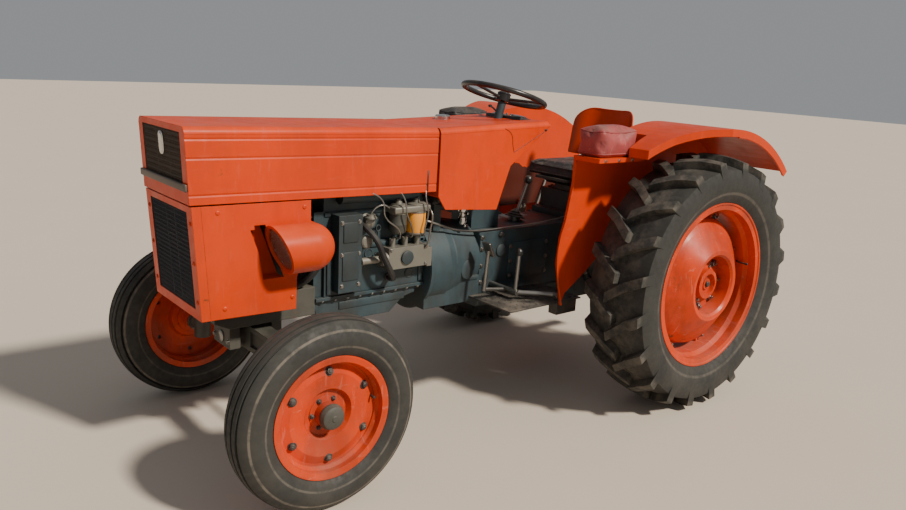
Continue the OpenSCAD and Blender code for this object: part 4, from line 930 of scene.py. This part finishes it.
    def belt(self):
        """V-belt round the crankshaft, water pump and dynamo pulleys"""
        dots = [(x + (radius + 3) * math.cos(a), z + (radius + 3) * math.sin(a))
                for x, z, radius in ((0, CRANK_Z, 80), (0, 960, 52), (DYNAMO_X, DYNAMO_Z, 34))
                for a in (math.tau * i / 48 for i in range(48))]
        bm = bmesh.new()
        loop = [bm.verts.new(at(dots[i][0], -1729, dots[i][1])) for i in geometry.convex_hull_2d(dots)]
        edges = [bm.edges.new(pair) for pair in zip(loop, loop[1:] + loop[:1])]
        made = bmesh.ops.extrude_edge_only(bm, edges=edges)["geom"]
        bmesh.ops.translate(bm, vec=(0, 0.014, 0),
                            verts=[item for item in made if isinstance(item, bmesh.types.BMVert)])
        bmesh.ops.recalc_face_normals(bm, faces=bm.faces)
        bmesh.ops.solidify(bm, geom=list(bm.faces), thickness=0.008)
        fitted("fan_belt", bm, "chassis", "hose")

    def filters(self):
        """Two fuel filters on their head: a dark canister in front, an amber bowl behind"""
        bm = bmesh.new()
        block(bm, (177, -1277, 954), (86, 186, 27), 6, DRAWING, 3)
        block(bm, (140, -1280, 949), (22, 118, 17), 2)
        for y, radius in ((-1324, 38), (-1232, 45)):
            turned(bm, [(0, 0), (radius - 2, 0), (radius - 1, 5), (radius - 6, 9), (16, 11), (14, 20),
                        (0, 21)], spot((177, y, 966)), 32)
            bolt(bm, (177, y, 986), (0, 0, 1), 10)
            turned(bm, [(radius - 6, 0), (radius, 0), (radius, 8), (radius - 6, 8)],
                   spot((176, y, 934)), 32, True)
        turned(bm, [(0, 0), (38, 0), (45, 7), (45, 11), (0, 11)], spot((176, -1232, 838)), 32)
        bolt(bm, (176, -1232, 839), (0, 0, -1), 9)
        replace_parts(fitted("filter_head", bm, "chassis", "alloy"), "fuel_filters")
        bm = bmesh.new()
        turned(bm, [(0, 0), (20, 1), (33, 8), (37, 20), (37, 42), (38, 44), (37, 46), (37, 90), (0, 90)],
               spot((176, -1324, 846)), 32)
        fitted("filter_canister", bm, "chassis", "axle")
        bm = bmesh.new()
        turned(bm, [(0, 0), (41, 0), (43.5, 5), (43.5, 84), (41, 90), (0, 90)], spot((176, -1232, 848)), 40)
        fitted("filter_bowl", bm, "chassis", "amber")

    def bolts(self):
        """Bolt heads, plugs and ribs of the engine's castings"""
        bm = bmesh.new()
        for side in SIDES:
            for y in range(-1670, -1180, 60):
                bolt(bm, (side * 152, y, 596), (0, 0, -1), 7)
            for z in (640, 720, 800, 880, 940):
                bolt(bm, (side * 118, -1700, z), (0, -1, 0), 7)
            for y in range(-1610, -1180, 106):
                bolt(bm, (side * 62, y, 1119), (0, 0, 1), 7)
            for y in (-1640, -1485, -1330, -1190):
                bolt(bm, (side * 112, y, 1050), (0, 0, 1), 9, stud=5)
        for y in (-1620, -1512):
            for z in (660, 790, 920):
                bolt(bm, (196, y + (14 if y < -1560 else -14), z), (1, 0, 0), 7)
        for y, z in ((-1380, 712), (-1380, 788), (-1200, 712), (-1200, 788)):
            bolt(bm, (216.3, y, z), (1, 0, 0), 6)
        for a, b in ((-1, -1), (-1, 1), (1, -1), (1, 1)):
            bolt(bm, (188 + 22 * a, -1424, 750 + 18 * b), (0, -1, 0), 5)
        fitted("engine_bolts", bm, "chassis", "steel")
        bm = bmesh.new()
        for side, y, z in ((1, -1450, 770), (1, -1240, 660),
                           (-1, -1600, 700), (-1, -1460, 700), (-1, -1320, 700), (-1, -1220, 700)):
            turned(bm, [(0, 1.5), (15, 1.5), (17, 3.5), (21, 3.5), (22, 0), (22, -2), (0, -2)],
                   spot((side * 150, y, z), (side, 0, 0)), 24)
        # Ribs and panels cast into the block, sump and pump drive's housing
        for y in (-1640, -1180):
            for side in SIDES:
                block(bm, (side * 150, y, 716), (16, 22, 196), 4)
        for side in SIDES:
            block(bm, (side * 141, -1420, 560), (8, 330, 34), 4)
            block(bm, (side * 129, -1400, 946), (10, 500, 20), 4)
            block(bm, (side * 152, -1411, 806), (12, 498, 20), 4)
        block(bm, (197, -1566, 740), (7, 78, 120), 3)
        block(bm, (197, -1566, 880), (7, 70, 84), 3)
        turned(bm, [(0, 0), (30, 0), (30, 6), (24, 9), (0, 9)], spot((218, -1300, 750), (1, 0, 0)), 28)
        turned(bm, [(0, 0), (12, 0), (12, 14), (0, 15)], spot((178, -1180, 783)), 16)
        rod(bm, (135, -1402, 700), (150, -1406, 862), 4)
        turned(bm, [(11, -4), (15, -4), (15, 4), (11, 4)], spot((150, -1406, 874), (1, 0.2, 0)), 20, True)
        fitted("engine_castings", bm, "chassis", "engine")
        # Dynamo's bands and pulley rim, starter's solenoid
        bm = bmesh.new()
        for y in (-1690, -1545):
            turned(bm, [(43, -4), (46, -4), (46, 4), (43, 4)], spot((DYNAMO_X, y, DYNAMO_Z), (0, 1, 0)),
                   32, True)
        turned(bm, [(0, 0), (23, 0), (25, 4), (25, 108), (21, 114), (0, 114)],
               spot((-204, -1380, 752), (0, 1, 0)))
        block(bm, (-204, -1330, 738), (22, 60, 20), 3)
        bolt(bm, (-204, -1268, 744), (0, 1, 0), 6, stud=8)
        turned(bm, [(30, -8), (37, -8), (37, -4), (32, 0), (37, 4), (37, 8), (30, 8)],
               spot((DYNAMO_X, -1722, DYNAMO_Z), (0, 1, 0)), 32, True)
        fitted("dynamo_fittings", bm, "chassis", "dark")


class TRACTOR_OT_axle(bpy.types.Operator):
    """Kingpin caps, grease nipples, nuts and locknuts of the front axle and steering"""
    bl_idname = "tractor.axle"
    bl_label = "Front Axle Fittings"

    def execute(self, context):
        for side, name in SIDES.items():
            bm = bmesh.new()
            turned(bm, [(0, -2), (30, -2), (31, 4), (26, 9), (8, 10), (6, 16), (3, 19), (0, 19)],
                   spot((side * KINGPIN_X, FRONT_AXLE[0], 550)), 24)
            turned(bm, [(30, -3), (41, -3), (41, 5), (36, 8), (30, 8)],
                   spot((side * 540, *FRONT_AXLE), (side, 0, 0)), 28, True)
            if side < 0:
                turned(bm, [(0, 0), (12, 0), (12, 6), (8, 10), (0, 10)],
                       spot((-340, FRONT_AXLE[0], 528), (0, 0, -1)), 16)
            fitted("knuckle_fittings_" + name, bm, "knuckle_" + name, "steel")
        bm = bmesh.new()
        for side in SIDES:
            for x in (side * 432, side * 368):
                bolt(bm, (x, STEERING_ARM_Y, 411), (-side, 0, 0), 17)
            turned(bm, [(0, 0), (14, 0), (14, 4), (6, 8), (5, 14), (0, 15)],
                   spot((side * KINGPIN_X, STEERING_ARM_Y, 423)), 18)
        fitted("tie_rod_locknuts", bm, "tie_rod", "steel")
        bm = bmesh.new()
        for way in (-1, 1):
            face = FRONT_AXLE[0] + way * 110
            for x in (-62, 62):
                for z in (462, 530):
                    bolt(bm, (x, face, z), (0, way, 0), 9)
            turned(bm, [(0, 0), (24, 0), (24, 5), (17, 9), (0, 9)], spot((0, face, 470), (0, way, 0)), 28)
        for x in (-120, 120):
            for y in (-1745, -1790, -2040):
                bolt(bm, (x, y, 545), (0, 0, -1), 9)
            for z in (590, 628):
                bolt(bm, (x, -2120, z), (0, -1, 0), 9)
        fitted("front_support_bolts", bm, "chassis", "steel")
        return {"FINISHED"}


class TRACTOR_OT_driveline(bpy.types.Operator):
    """Flanges, cover plates, plugs and bolts from the clutch housing to the rear axle"""
    bl_idname = "tractor.driveline"
    bl_label = "Driveline Fittings"

    def execute(self, context):
        plates, bolts = bmesh.new(), bmesh.new()
        # Bell housing: flanges, a round side cover and bolts
        for i in range(10):
            angle = math.radians(18 + 36 * i)
            if math.sin(angle) > -0.75:
                bolt(bolts, (196 * math.cos(angle), -1152, CRANK_Z + 196 * math.sin(angle)), (0, -1, 0), 9)
        for y, outline in ((-1161, [(204, 0), (214, 1), (214, 15), (204, 17)]),
                           (-1010, [(188, 0), (198, 2), (198, 12), (186, 14)])):
            turned(plates, outline, spot((0, y, CRANK_Z), (0, 1, 0)), 64, True)
        turned(plates, [(0, 0), (46, 0), (46, 6), (40, 9), (0, 9)], spot((176, -925, 640), (1, 0.16, 0)), 36)
        for side in SIDES:
            trumpet = spot((side * 184, *REAR_AXLE), (side, 0, 0))
            brake = spot((side * 697, *REAR_AXLE), (side, 0, 0))
            block(plates, (side * 150, -829, 618), (22, 22, 340), 4)
            block(plates, (side * 150, -214, 618), (22, 24, 340), 4)
            block(plates, (side * 152, -520, 640), (10, 260, 180), 5)
            block(plates, (side * 151, -520, 480), (8, 560, 22), 4)
            block(plates, (side * 166, -1000, 590), (8, 300, 18), 4)
            for y in (-640, -400):
                for z in (566, 640, 714):
                    bolt(bolts, (side * 157, y, z), (side, 0, 0), 8)
            for z in (480, 560, 640, 720, 775):
                bolt(bolts, (side * 161, -829, z), (side, 0, 0), 8.5)
                bolt(bolts, (side * 161, -214, z), (side, 0, 0), 8.5)
            turned(plates, [(150, 0), (166, 2), (166, 16), (146, 20)], trumpet, 64, True)
            for place in ring(12, 157, 20):
                bolt(bolts, place, (0, 0, 1), 8, trumpet)
            for place in ring(8, 74, -31):
                bolt(bolts, place, (0, 0, -1), 7, brake)
            for y in (-165, -60, 60, 165):
                bolt(bolts, (side * 160, y, 826), (0, 0, 1), 8)
        turned(plates, [(0, 0), (30, 0), (30, 5), (24, 8), (0, 8)], spot((150, -700, 700), (1, 0, 0)), 28)
        bolt(bolts, (156, -705, 778), (1, 0, 0), 10)
        bolt(bolts, (0, -500, 440), (0, 0, -1), 15)
        bolt(bolts, (0, 0, 400), (0, 0, -1), 15)
        for x in (-60, 60):
            for y in (-830, -660):
                bolt(bolts, (x, y + (16 if y < -700 else -16), 910), (0, 0, 1), 8)
        # Lift cover, its lever quadrant, and the shield over the PTO shaft
        block(plates, (0, 10, 934), (250, 270, 12), 4)
        block(plates, (186, -40, 880), (10, 90, 60), 4)
        for x in (-110, 110):
            for y in (-110, 10, 130):
                bolt(bolts, (x, y, 939), (0, 0, 1), 8)
        cover = spot((0, 195, PTO_Z), (0, 1, 0))
        turned(plates, [(30, 0), (78, 0), (78, 10), (74, 14), (30, 14)], cover, 48, True)
        for place in ring(6, 64, 14):
            bolt(bolts, place, (0, 0, 1), 8, cover)
        block(plates, (0, 262, 634), (190, 120, 5), 2)
        for side in (-1, 1):
            block(plates, (side * 94, 262, 596), (5, 120, 76), 2)
        block(plates, (0, 200, 618), (190, 12, 36), 2)
        fitted("driveline_castings", plates, "chassis", "engine")
        fitted("driveline_bolts", bolts, "chassis", "steel")
        bm = bmesh.new()
        for x, y, z in ring(6, 17, 70):
            rod(bm, (x, y, z), (x, y, 168), 3.2, spot((0, 150, PTO_Z), (0, 1, 0)), 8)
        fitted("pto_splines", bm, "pto_shaft", "steel")
        return {"FINISHED"}


class TRACTOR_OT_dash(bpy.types.Operator):
    """Seams, switches and instruments of the cowl"""
    bl_idname = "tractor.dash"
    bl_label = "Cowl and Dash"

    def execute(self, context):
        bm = bmesh.new()
        for side in SIDES:
            piped(bm, [(1.3, [(side * (HOOD_HALF + 0.3), y, z) for y, z in route]) for route in (
                [(-790, 1284), (-772, 1276), (-752, 1262), (-742, 1244), (-738, 1216), (-728, 1180)],
                [(-728, 1176), (-660, 1208), (-590, 1242), (-520, 1276)])], smooth=1)
            turned(bm, [(0, -1), (7, -1), (7, 2), (4, 4), (0, 4)],
                   spot((side * HOOD_HALF, -532, 1274), (side, 0, 0)), 14)
        fitted("cowl_seams", bm, "chassis", "dark")

        # Instrument box on the cowl's rear edge, with two round gauges and three switches
        panel = spot((0, -560, 1314), (0, 0.2, 1))
        bm = bmesh.new()
        block(bm, (0, 0, -14), (250, 92, 40), 9, panel, 3)
        fitted("dash_panel", bm, "chassis", "dark")
        rims, faces, marks, glass = (bmesh.new() for _ in range(4))
        for x in (-66, 66):
            gauge = spot((x, 0, 6), place=panel)
            turned(rims, [(33, 0), (39, 0), (39, 5), (36, 7), (33, 5)], gauge, 40, True)
            turned(faces, [(0, -2), (34, -2), (34, 1.5), (0, 1.5)], gauge, 40)
            turned(glass, [(0, 4), (20, 3.8), (33.6, 3.2), (33.6, 2.4), (20, 2.6), (0, 2.8)], gauge, 40)
            for i in range(9):
                angle = math.radians(-30 + 30 * i)
                a, b = (Vector((r * math.cos(angle), r * math.sin(angle), 1.6)) for r in (24, 30))
                rod(marks, a, b, 0.8, gauge, 4)
            rod(marks, (0, 0, 1.9), (17, 13, 1.9), 1.0, gauge, 4)
        for x in (-14, 0, 14):
            turned(rims, [(0, 0), (5, 0), (5, 10), (4, 12), (0, 12)],
                   spot((x, -20 + abs(x), 5), place=panel), 14)
        fitted("gauge_rims", rims, "chassis", "bright")
        fitted("gauge_faces", faces, "chassis", "plastic")
        fitted("gauge_marks", marks, "chassis", "alloy")
        fitted("gauge_glasses", glass, "chassis", "glass")

        # Filler cap of the tank, and rubber gaiter round the steering column
        bm = bmesh.new()
        turned(bm, [(0, -3), (40, -3), (40, 3), (36, 5), (36, 20), (32, 25), (12, 27), (0, 27)],
               spot((-90, -900, 1294)), 36)
        fitted("tank_cap", bm, "chassis", "bright")
        bm = bmesh.new()
        column = spot((0, -745, 908)) @ Matrix.Rotation(math.radians(-15.5), 4, "X")
        turned(bm, [(20.3, 372), (36, 372), (34, 380), (27, 386), (30, 392), (23, 398), (20.3, 404)],
               column, 28, True)
        fitted("column_gaiter", bm, "chassis", "hose")
        bm = bmesh.new()
        turned(bm, [(0, 3), (33, 3), (33, 8), (26, 13), (12, 15), (0, 15)],
               column @ Matrix.Translation((0, 0, 0.530)), 32)
        fitted("steering_wheel_cap", bm, "steering_wheel", "plastic")
        return {"FINISHED"}


class TRACTOR_OT_controls(bpy.types.Operator):
    """Pedal pads, lever knobs, throttle lever and footplate treads"""
    bl_idname = "tractor.controls"
    bl_label = "Pedals, Levers and Footplates"

    def execute(self, context):
        bm = bmesh.new()
        for x in (258, -205, -262):
            pad = spot((x, -874, 742)) @ Matrix.Rotation(math.radians(25), 4, "X")
            block(bm, (0, 3.4, 5), (53, 9, 68), 3, pad)
            for i in range(5):
                block(bm, (0, 8.4, -19 + 12 * i), (46, 3, 5), 1, pad)
        turned(bm, [(7, 0), (12, 0), (11, 12), (8.4, 18), (7, 18)],
               spot((0, -474, 825), (0, 0.38, 0.92)), 20, True)
        turned(bm, [(8, -2), (52, -2), (50, 4), (38, 9), (40, 14), (26, 20), (27, 26), (14, 34), (9, 40)],
               spot((0, -479, 818), (0, 0.2, 1)), 28, True)
        fitted("pedal_pads", bm, "chassis", "hose")
        bm = bmesh.new()
        turned(bm, [(0, -22), (10, -21), (19, -10), (21, 1), (19, 12), (11, 20), (0, 22)],
               spot((0, -400, 1000)), 24)
        turned(bm, [(0, -17), (9, -16), (15.6, -7), (16.6, 1), (15, 9), (8, 16), (0, 17)],
               spot((318, -738, 730)), 20)
        # Hand throttle on the column's right
        piped(bm, [(4.5, [(-20, -628, 1340), (-50, -620, 1352), (-82, -606, 1358), (-104, -594, 1360)])])
        turned(bm, [(0, -9), (6, -8), (8, 0), (6, 8), (0, 9)], spot((-108, -592, 1360), (1, 0, 0)), 16)
        fitted("lever_knobs", bm, "chassis", "plastic")
        bm = bmesh.new()
        piped(bm, [(12, [(318, -749, 541), (422, -600, 535)])])
        fitted("foot_rail_sleeve", bm, "chassis", "steel")
        bm = bmesh.new()
        for side in SIDES:
            for i in range(11):
                for j in range(7):
                    x, y = side * (192 + 39 * j), -878 + 42 * i
                    if abs(x) < 440 and not (i > 6 and j > 6):
                        turned(bm, [(0, 0), (7, 0), (5.5, 1.8), (0, 2.2)], spot((x, y, 506)), 8)
            for y in (-720, -748):
                bolt(bm, (side * 170, y, 506), (0, 0, 1), 7)
            for y in (-585, -490):
                bolt(bm, (side * 424, y, 506), (0, 0, 1), 7)
        fitted("footplate_treads", bm, "chassis", "dark")
        return {"FINISHED"}


def stuffed(name, node, low, high, finish, swell, voxel, channels=()):
    """An upholstered pad with its piping: a rounded form that its stuffing swells over a flat base."""
    channel_depth, channel_width, cord = 6.0, 5.5, 2.8
    low, high, swell = Vector(low), Vector(high), swell * 1000
    size = high - low - Vector((2 * swell, 2 * swell, swell)) * 0.8
    middle = (low + high) / 2
    bm = bmesh.new()
    block(bm, (middle.x, middle.y, low.z + size.z / 2), size, 20, DRAWING, 5)
    mesh = bpy.data.meshes.new(name)
    bm.to_mesh(mesh)
    bm.free()
    piece = bpy.data.objects.new(name, mesh)
    bpy.context.collection.objects.link(piece)

    def settle():
        """Applies the piece's modifiers; returns its points."""
        bpy.context.view_layer.update()
        finished = bpy.data.meshes.new_from_object(piece.evaluated_get(bpy.context.evaluated_depsgraph_get()))
        piece.modifiers.clear()
        piece.data = finished
        return finished.vertices

    shape = piece.modifiers.new("Remesh", "REMESH")
    shape.mode = "VOXEL"
    shape.voxel_size = voxel
    rest = [vert.co.copy() for vert in settle()]
    held = piece.vertex_groups.new(name="held")
    base = at(0, 0, low.z + 9).z
    held.add([i for i, co in enumerate(rest) if co.z < base], 1.0, "REPLACE")
    cover = piece.modifiers.new("Cover", "CLOTH")
    cover.settings.quality = 4
    cover.settings.mass = 0.3
    cover.settings.use_pressure = True
    cover.settings.uniform_pressure_force = 4
    cover.settings.vertex_group_mass = "held"
    cover.settings.effector_weights.gravity = 0
    scene = bpy.context.scene
    for number in range(1, 21):
        scene.frame_set(number)
    for vert, home in zip(settle(), rest):
        away = vert.co - home
        if away.length > swell / 1000:
            vert.co = home + away.normalized() * swell / 1000
    scene.frame_set(1)
    piece.vertex_groups.clear()
    smooth = piece.modifiers.new("Smooth", "SUBSURF")
    smooth.levels = smooth.render_levels = 1
    settle()

    # Sewn channels from front to back, deepest on top
    for vert, up in [(vert, vert.normal.z) for vert in piece.data.vertices if vert.normal.z > 0]:
        pull = sum(math.exp(-((vert.co.x * 1000 - line) / channel_width) ** 2) for line in channels)
        vert.co.z -= channel_depth / 1000 * pull * up ** 2
    bm = bmesh.new()
    bm.from_mesh(piece.data)
    skin = BVHTree.FromBMesh(bm)
    bm.free()
    cords = bmesh.new()
    for z in (low.z + 16, low.z + size.z - 7):
        points = []
        for i in range(56):
            a = math.tau * i / 56
            x, y = (math.copysign(abs(f(a)) ** 0.25, f(a)) for f in (math.cos, math.sin))
            goal = at(middle.x + x * size.x / 2, middle.y + y * size.y / 2, z)
            place, normal = skin.find_nearest(goal)[:2]
            points.append((place + normal * 0.0008) * 1000)
        piped(cords, [(cord, points)], Matrix.Identity(4), 2, True)
    piece.data.polygons.foreach_set("use_smooth", [True] * len(piece.data.polygons))
    piece.data.materials.append(FINISH[finish])
    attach(piece, "chassis")
    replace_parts(piece, node)
    fitted(name + "_piping", cords, "chassis", finish)


class TRACTOR_OT_seat(bpy.types.Operator):
    """Seat cushion with sewn channels, rim of the back, and suspension"""
    bl_idname = "tractor.seat"
    bl_label = "Seat"

    def execute(self, context):
        swell = context.scene.tractor_fittings.cushion_swell
        stuffed("seat_cushion_cover", "seat_cushion", (-205, -235, 1004.3), (205, 135, 1079.3), "black_vinyl",
                swell, 0.0055, (-102, -34, 34, 102))

        # Rolled rim of the back's shell
        back = spot((0, 176, 1087)) @ Matrix.Rotation(math.radians(-10), 4, "X")
        corner = [(105 + 95 * math.sin(a), 167 + 95 * math.cos(a))
                  for a in (math.radians(15 * i) for i in range(7))]
        half = [(0, 262), (55, 262), *corner, (200, 80), (200, 8)]
        outline = [(-x, z) for x, z in reversed(half[1:])] + half
        bm = bmesh.new()
        piped(bm, [(4.6, [(x, self.bowed(x, 297), z) for x, z in outline])], back)
        for x in (-150, -75, 0, 75, 150):
            y = self.bowed(x, 300)
            rod(bm, (x, y - 1, 22), (x, y - 1, 205), 3.4, back)
        fitted("seat_back_rim", bm, "chassis", "body")
        bm = bmesh.new()
        for x in (-36, 36):
            for z in (24, 170):
                bolt(bm, (x, 8.5, z), (0, 1, 0), 8, back)
                bolt(bm, (x, self.bowed(x, 294), z), (0, -1, 0), 7, back)
            bolt(bm, (x, 186, 1000), (0, 1, 0), 6)
        # Springs between the lift housing and the pan
        for x in (-88, 88):
            coil = [(x + 15 * math.cos(a), 60 + 15 * math.sin(a), 931 + 30 * i / 40)
                    for i, a in enumerate(math.tau * k / 10 for k in range(41))]
            piped(bm, [(2.6, coil)])
        for x in (-50, 50):
            for y in (-120, 40):
                bolt(bm, (x + (14 if x > 0 else -14), y, 931), (0, 0, 1), 7)
        fitted("seat_fittings", bm, "chassis", "steel")
        return {"FINISHED"}

    def bowed(self, x, radius):
        """Depth at x of a curve about the centre that the back's shell is bent round."""
        return math.sqrt(radius ** 2 - x * x) - 300


class TRACTOR_OT_pads(bpy.types.Operator):
    """Padded boxes on the shelves of both fenders"""
    bl_idname = "tractor.pads"
    bl_label = "Fender Pads"

    def execute(self, context):
        swell = context.scene.tractor_fittings.cushion_swell
        for side, name in SIDES.items():
            ends = sorted((side * 430, side * 596))
            stuffed("fender_pad_" + name, "fender_pads", (ends[0], -560, 1187.5), (ends[1], -290, 1322),
                    "vinyl" if side > 0 else "black_vinyl", swell, 0.005)
        return {"FINISHED"}


class TRACTOR_OT_fenders(bpy.types.Operator):
    """Bolts, stays and rolled edges of the fenders"""
    bl_idname = "tractor.fenders"
    bl_label = "Fender Fittings"

    def execute(self, context):
        for side, name in SIDES.items():
            bm = bmesh.new()
            # Rolled front edge and crown edge
            piped(bm, [(4, [(side * 463, y, z) for y, z in (
                (-588, 494), (-638, 698), (-627, 817), (-604, 889), (-585, 991), (-572, 1063),
                (-570, 1160))])], smooth=2)
            lip = [(side * 872, -693 * math.sin(a), REAR_AXLE[1] + 693 * math.cos(a))
                   for a in (math.radians(i) for i in range(-44, -3, 5))]
            piped(bm, [(4.5, lip)], smooth=2)
            fitted("fender_edges_" + name, bm, "chassis", "body")
            bm = bmesh.new()
            for y in (-530, -440, -350):
                turned(bm, [(0, -1), (8, -1), (7, 2), (4, 3.4), (0, 3.4)],
                       spot((side * 600, y, 1176), (side, 0, 0)), 12)
            for y, z in ((-595, 560), (-560, 1100), (-300, 1150)):
                bolt(bm, (side * 450, y + 30, z), (-side, 0, 0), 8)
            for y in (-14, 14):
                bolt(bm, (side * 405, y, 692.4), (0, 0, 1), 9)
                bolt(bm, (side * 440, y, 760), (-side, 0, 0), 9)
            # Strap that ties the inner plate to the axle behind the wheel's centre
            rod(bm, (side * 444, 180, 900), (side * 420, 55, 652), 8)
            bolt(bm, (side * 450, 184, 904), (-side, 0, 0), 9)
            fitted("fender_fittings_" + name, bm, "chassis", "steel")
        return {"FINISHED"}


class TRACTOR_OT_hitch(bpy.types.Operator):
    """Pins, clips and balls of the rear hitch, and bolts of the drawbar"""
    bl_idname = "tractor.hitch"
    bl_label = "Hitch Fittings"

    def execute(self, context):
        pins, links, arms, rods = (bmesh.new() for _ in range(4))
        for side in SIDES:
            turned(pins, [(12.2, 0), (21, 0), (21, 3), (12.2, 3)],
                   spot((side * 296, 60, 400), (side, 0, 0)), 24, True)
            rod(pins, (side * 302, 60, 384), (side * 302, 60, 420), 2.6)
            for x, way in ((383, side), (337, -side)):
                turned(links, [(11.4, -3), (20, -3), (23, 0), (24, 3), (11.4, 3)],
                       spot((side * x, 860, 400), (way, 0, 0)), 28, True)
            turned(arms, [(0, -1), (36, -1), (36, 4), (28, 8), (0, 8)],
                   spot((side * 255, 100, 880), (side, 0, 0)), 28)
            bolt(arms, (side * 262, 100, 880), (side, 0, 0), 13)
            rod(rods, (side * 287.8, 418, 736), (side * 287.8, 406, 590), 15, sides=6)
            for a, b in (((418.6, 744), (417.4, 730)), ((406.6, 596), (405.4, 582))):
                rod(rods, (side * 287.8, *a), (side * 287.8, *b), 18, sides=6)
            piped(rods, [(4, [(side * 287.8, 412, 664), (side * 258, 414, 664), (side * 240, 420, 690)])])
        fitted("hitch_pins", pins, "chassis", "steel")
        fitted("link_balls", links, "lower_links", "bright")
        fitted("lift_arm_caps", arms, "lift_arms", "axle")
        fitted("lift_rod_sleeves", rods, "lift_rods", "axle")
        bm = bmesh.new()
        for x in (-88, 88):
            bolt(bm, (x, 150, 386), (0, 0, -1), 10)
        bolt(bm, (0, -120, 358), (0, 0, -1), 12)
        for y in (380, 410):
            turned(bm, [(0, 0), (9, 0), (8, 2), (0, 2.4)], spot((0, y, 386)), 12)
        fitted("drawbar_bolts", bm, "chassis", "steel")
        return {"FINISHED"}


class TRACTOR_OT_stage(bpy.types.Operator):
    """Sets up the floor, the soft lights and the camera"""
    bl_idname = "tractor.stage"
    bl_label = "Floor, Lights and Camera"

    def execute(self, context):
        setup = context.scene.tractor_stage
        bm = bmesh.new()
        bmesh.ops.create_grid(bm, x_segments=2, y_segments=2, size=30)
        mesh = bpy.data.meshes.new("floor")
        bm.to_mesh(mesh)
        bm.free()
        floor = bpy.data.objects.new("floor", mesh)
        context.collection.objects.link(floor)
        material, tree, shader = blank_material("pale floor", Roughness=0.9)
        colour = tuple(setup.floor)
        tree.links.new(tint(tree, object_noise(tree, 1.5, 6, 0.6), colour, [c * 0.94 for c in colour]),
                       shader["Base Color"])
        mesh.materials.append(material)

        world = context.scene.world or bpy.data.worlds.new("studio")
        context.scene.world = world
        world.use_nodes = True
        sky = world.node_tree.nodes["Background"].inputs
        sky["Color"].default_value = (0.93, 0.96, 1.0, 1)
        sky["Strength"].default_value = setup.sky

        sun = bpy.data.lights.new("key", "SUN")
        sun.energy = setup.sun
        sun.angle = math.radians(5)
        sun.color = (1.0, 0.92, 0.80)
        key = bpy.data.objects.new("key", sun)
        context.collection.objects.link(key)
        key.rotation_euler = Vector((-0.70, -0.245, -0.667)).to_track_quat("-Z", "Y").to_euler()

        lens = bpy.data.cameras.new("photo view")
        lens.sensor_width = 36
        lens.lens = PHOTO_LENS
        lens.shift_x, lens.shift_y = PHOTO_SHIFT
        lens.clip_end = 200
        camera = bpy.data.objects.new("photo view", lens)
        context.collection.objects.link(camera)
        camera.matrix_world = (
            Matrix.Translation(PHOTO_PLACE)
            @ Matrix.Rotation(setup.azimuth, 4, "Z")
            @ Matrix.Rotation(math.pi / 2 - setup.elevation, 4, "X")
            @ Matrix.Rotation(setup.roll, 4, "Z"))
        context.scene.camera = camera
        return {"FINISHED"}


class TRACTOR_PT_build(bpy.types.Panel):
    bl_idname = "TRACTOR_PT_build"
    bl_label = "Small Farm Tractor"
    bl_space_type = "VIEW_3D"
    bl_region_type = "UI"
    bl_category = "Tractor"

    def draw(self, context):
        for group in (getattr(context.scene, name) for name in SETTINGS):
            box = self.layout.box()
            for name in group.bl_rna.properties.keys():
                if name not in {"rna_type", "name"}:
                    box.prop(group, name)
        for step in STEPS:
            self.layout.operator(step.bl_idname)


STEPS = (
    TRACTOR_OT_stage, TRACTOR_OT_paint, TRACTOR_OT_wheels, TRACTOR_OT_grilles, TRACTOR_OT_headlights,
    TRACTOR_OT_engine, TRACTOR_OT_axle, TRACTOR_OT_driveline, TRACTOR_OT_dash, TRACTOR_OT_controls,
    TRACTOR_OT_seat, TRACTOR_OT_pads, TRACTOR_OT_fenders, TRACTOR_OT_hitch,
)
SETTINGS = {
    "tractor_finish": TractorFinish,
    "tractor_fittings": TractorFittings,
    "tractor_stage": TractorStage,
}


def register():
    for kind in (*SETTINGS.values(), *STEPS, TRACTOR_PT_build):
        bpy.utils.register_class(kind)
    for name, kind in SETTINGS.items():
        setattr(bpy.types.Scene, name, bpy.props.PointerProperty(type=kind))


def unregister():
    for name in SETTINGS:
        delattr(bpy.types.Scene, name)
    for kind in (TRACTOR_PT_build, *reversed(STEPS), *reversed(SETTINGS.values())):
        bpy.utils.unregister_class(kind)


def main():
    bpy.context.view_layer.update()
    register()
    for step in STEPS:
        family, name = step.bl_idname.split(".")
        getattr(getattr(bpy.ops, family), name)()


if __name__ == "__main__":
    main()
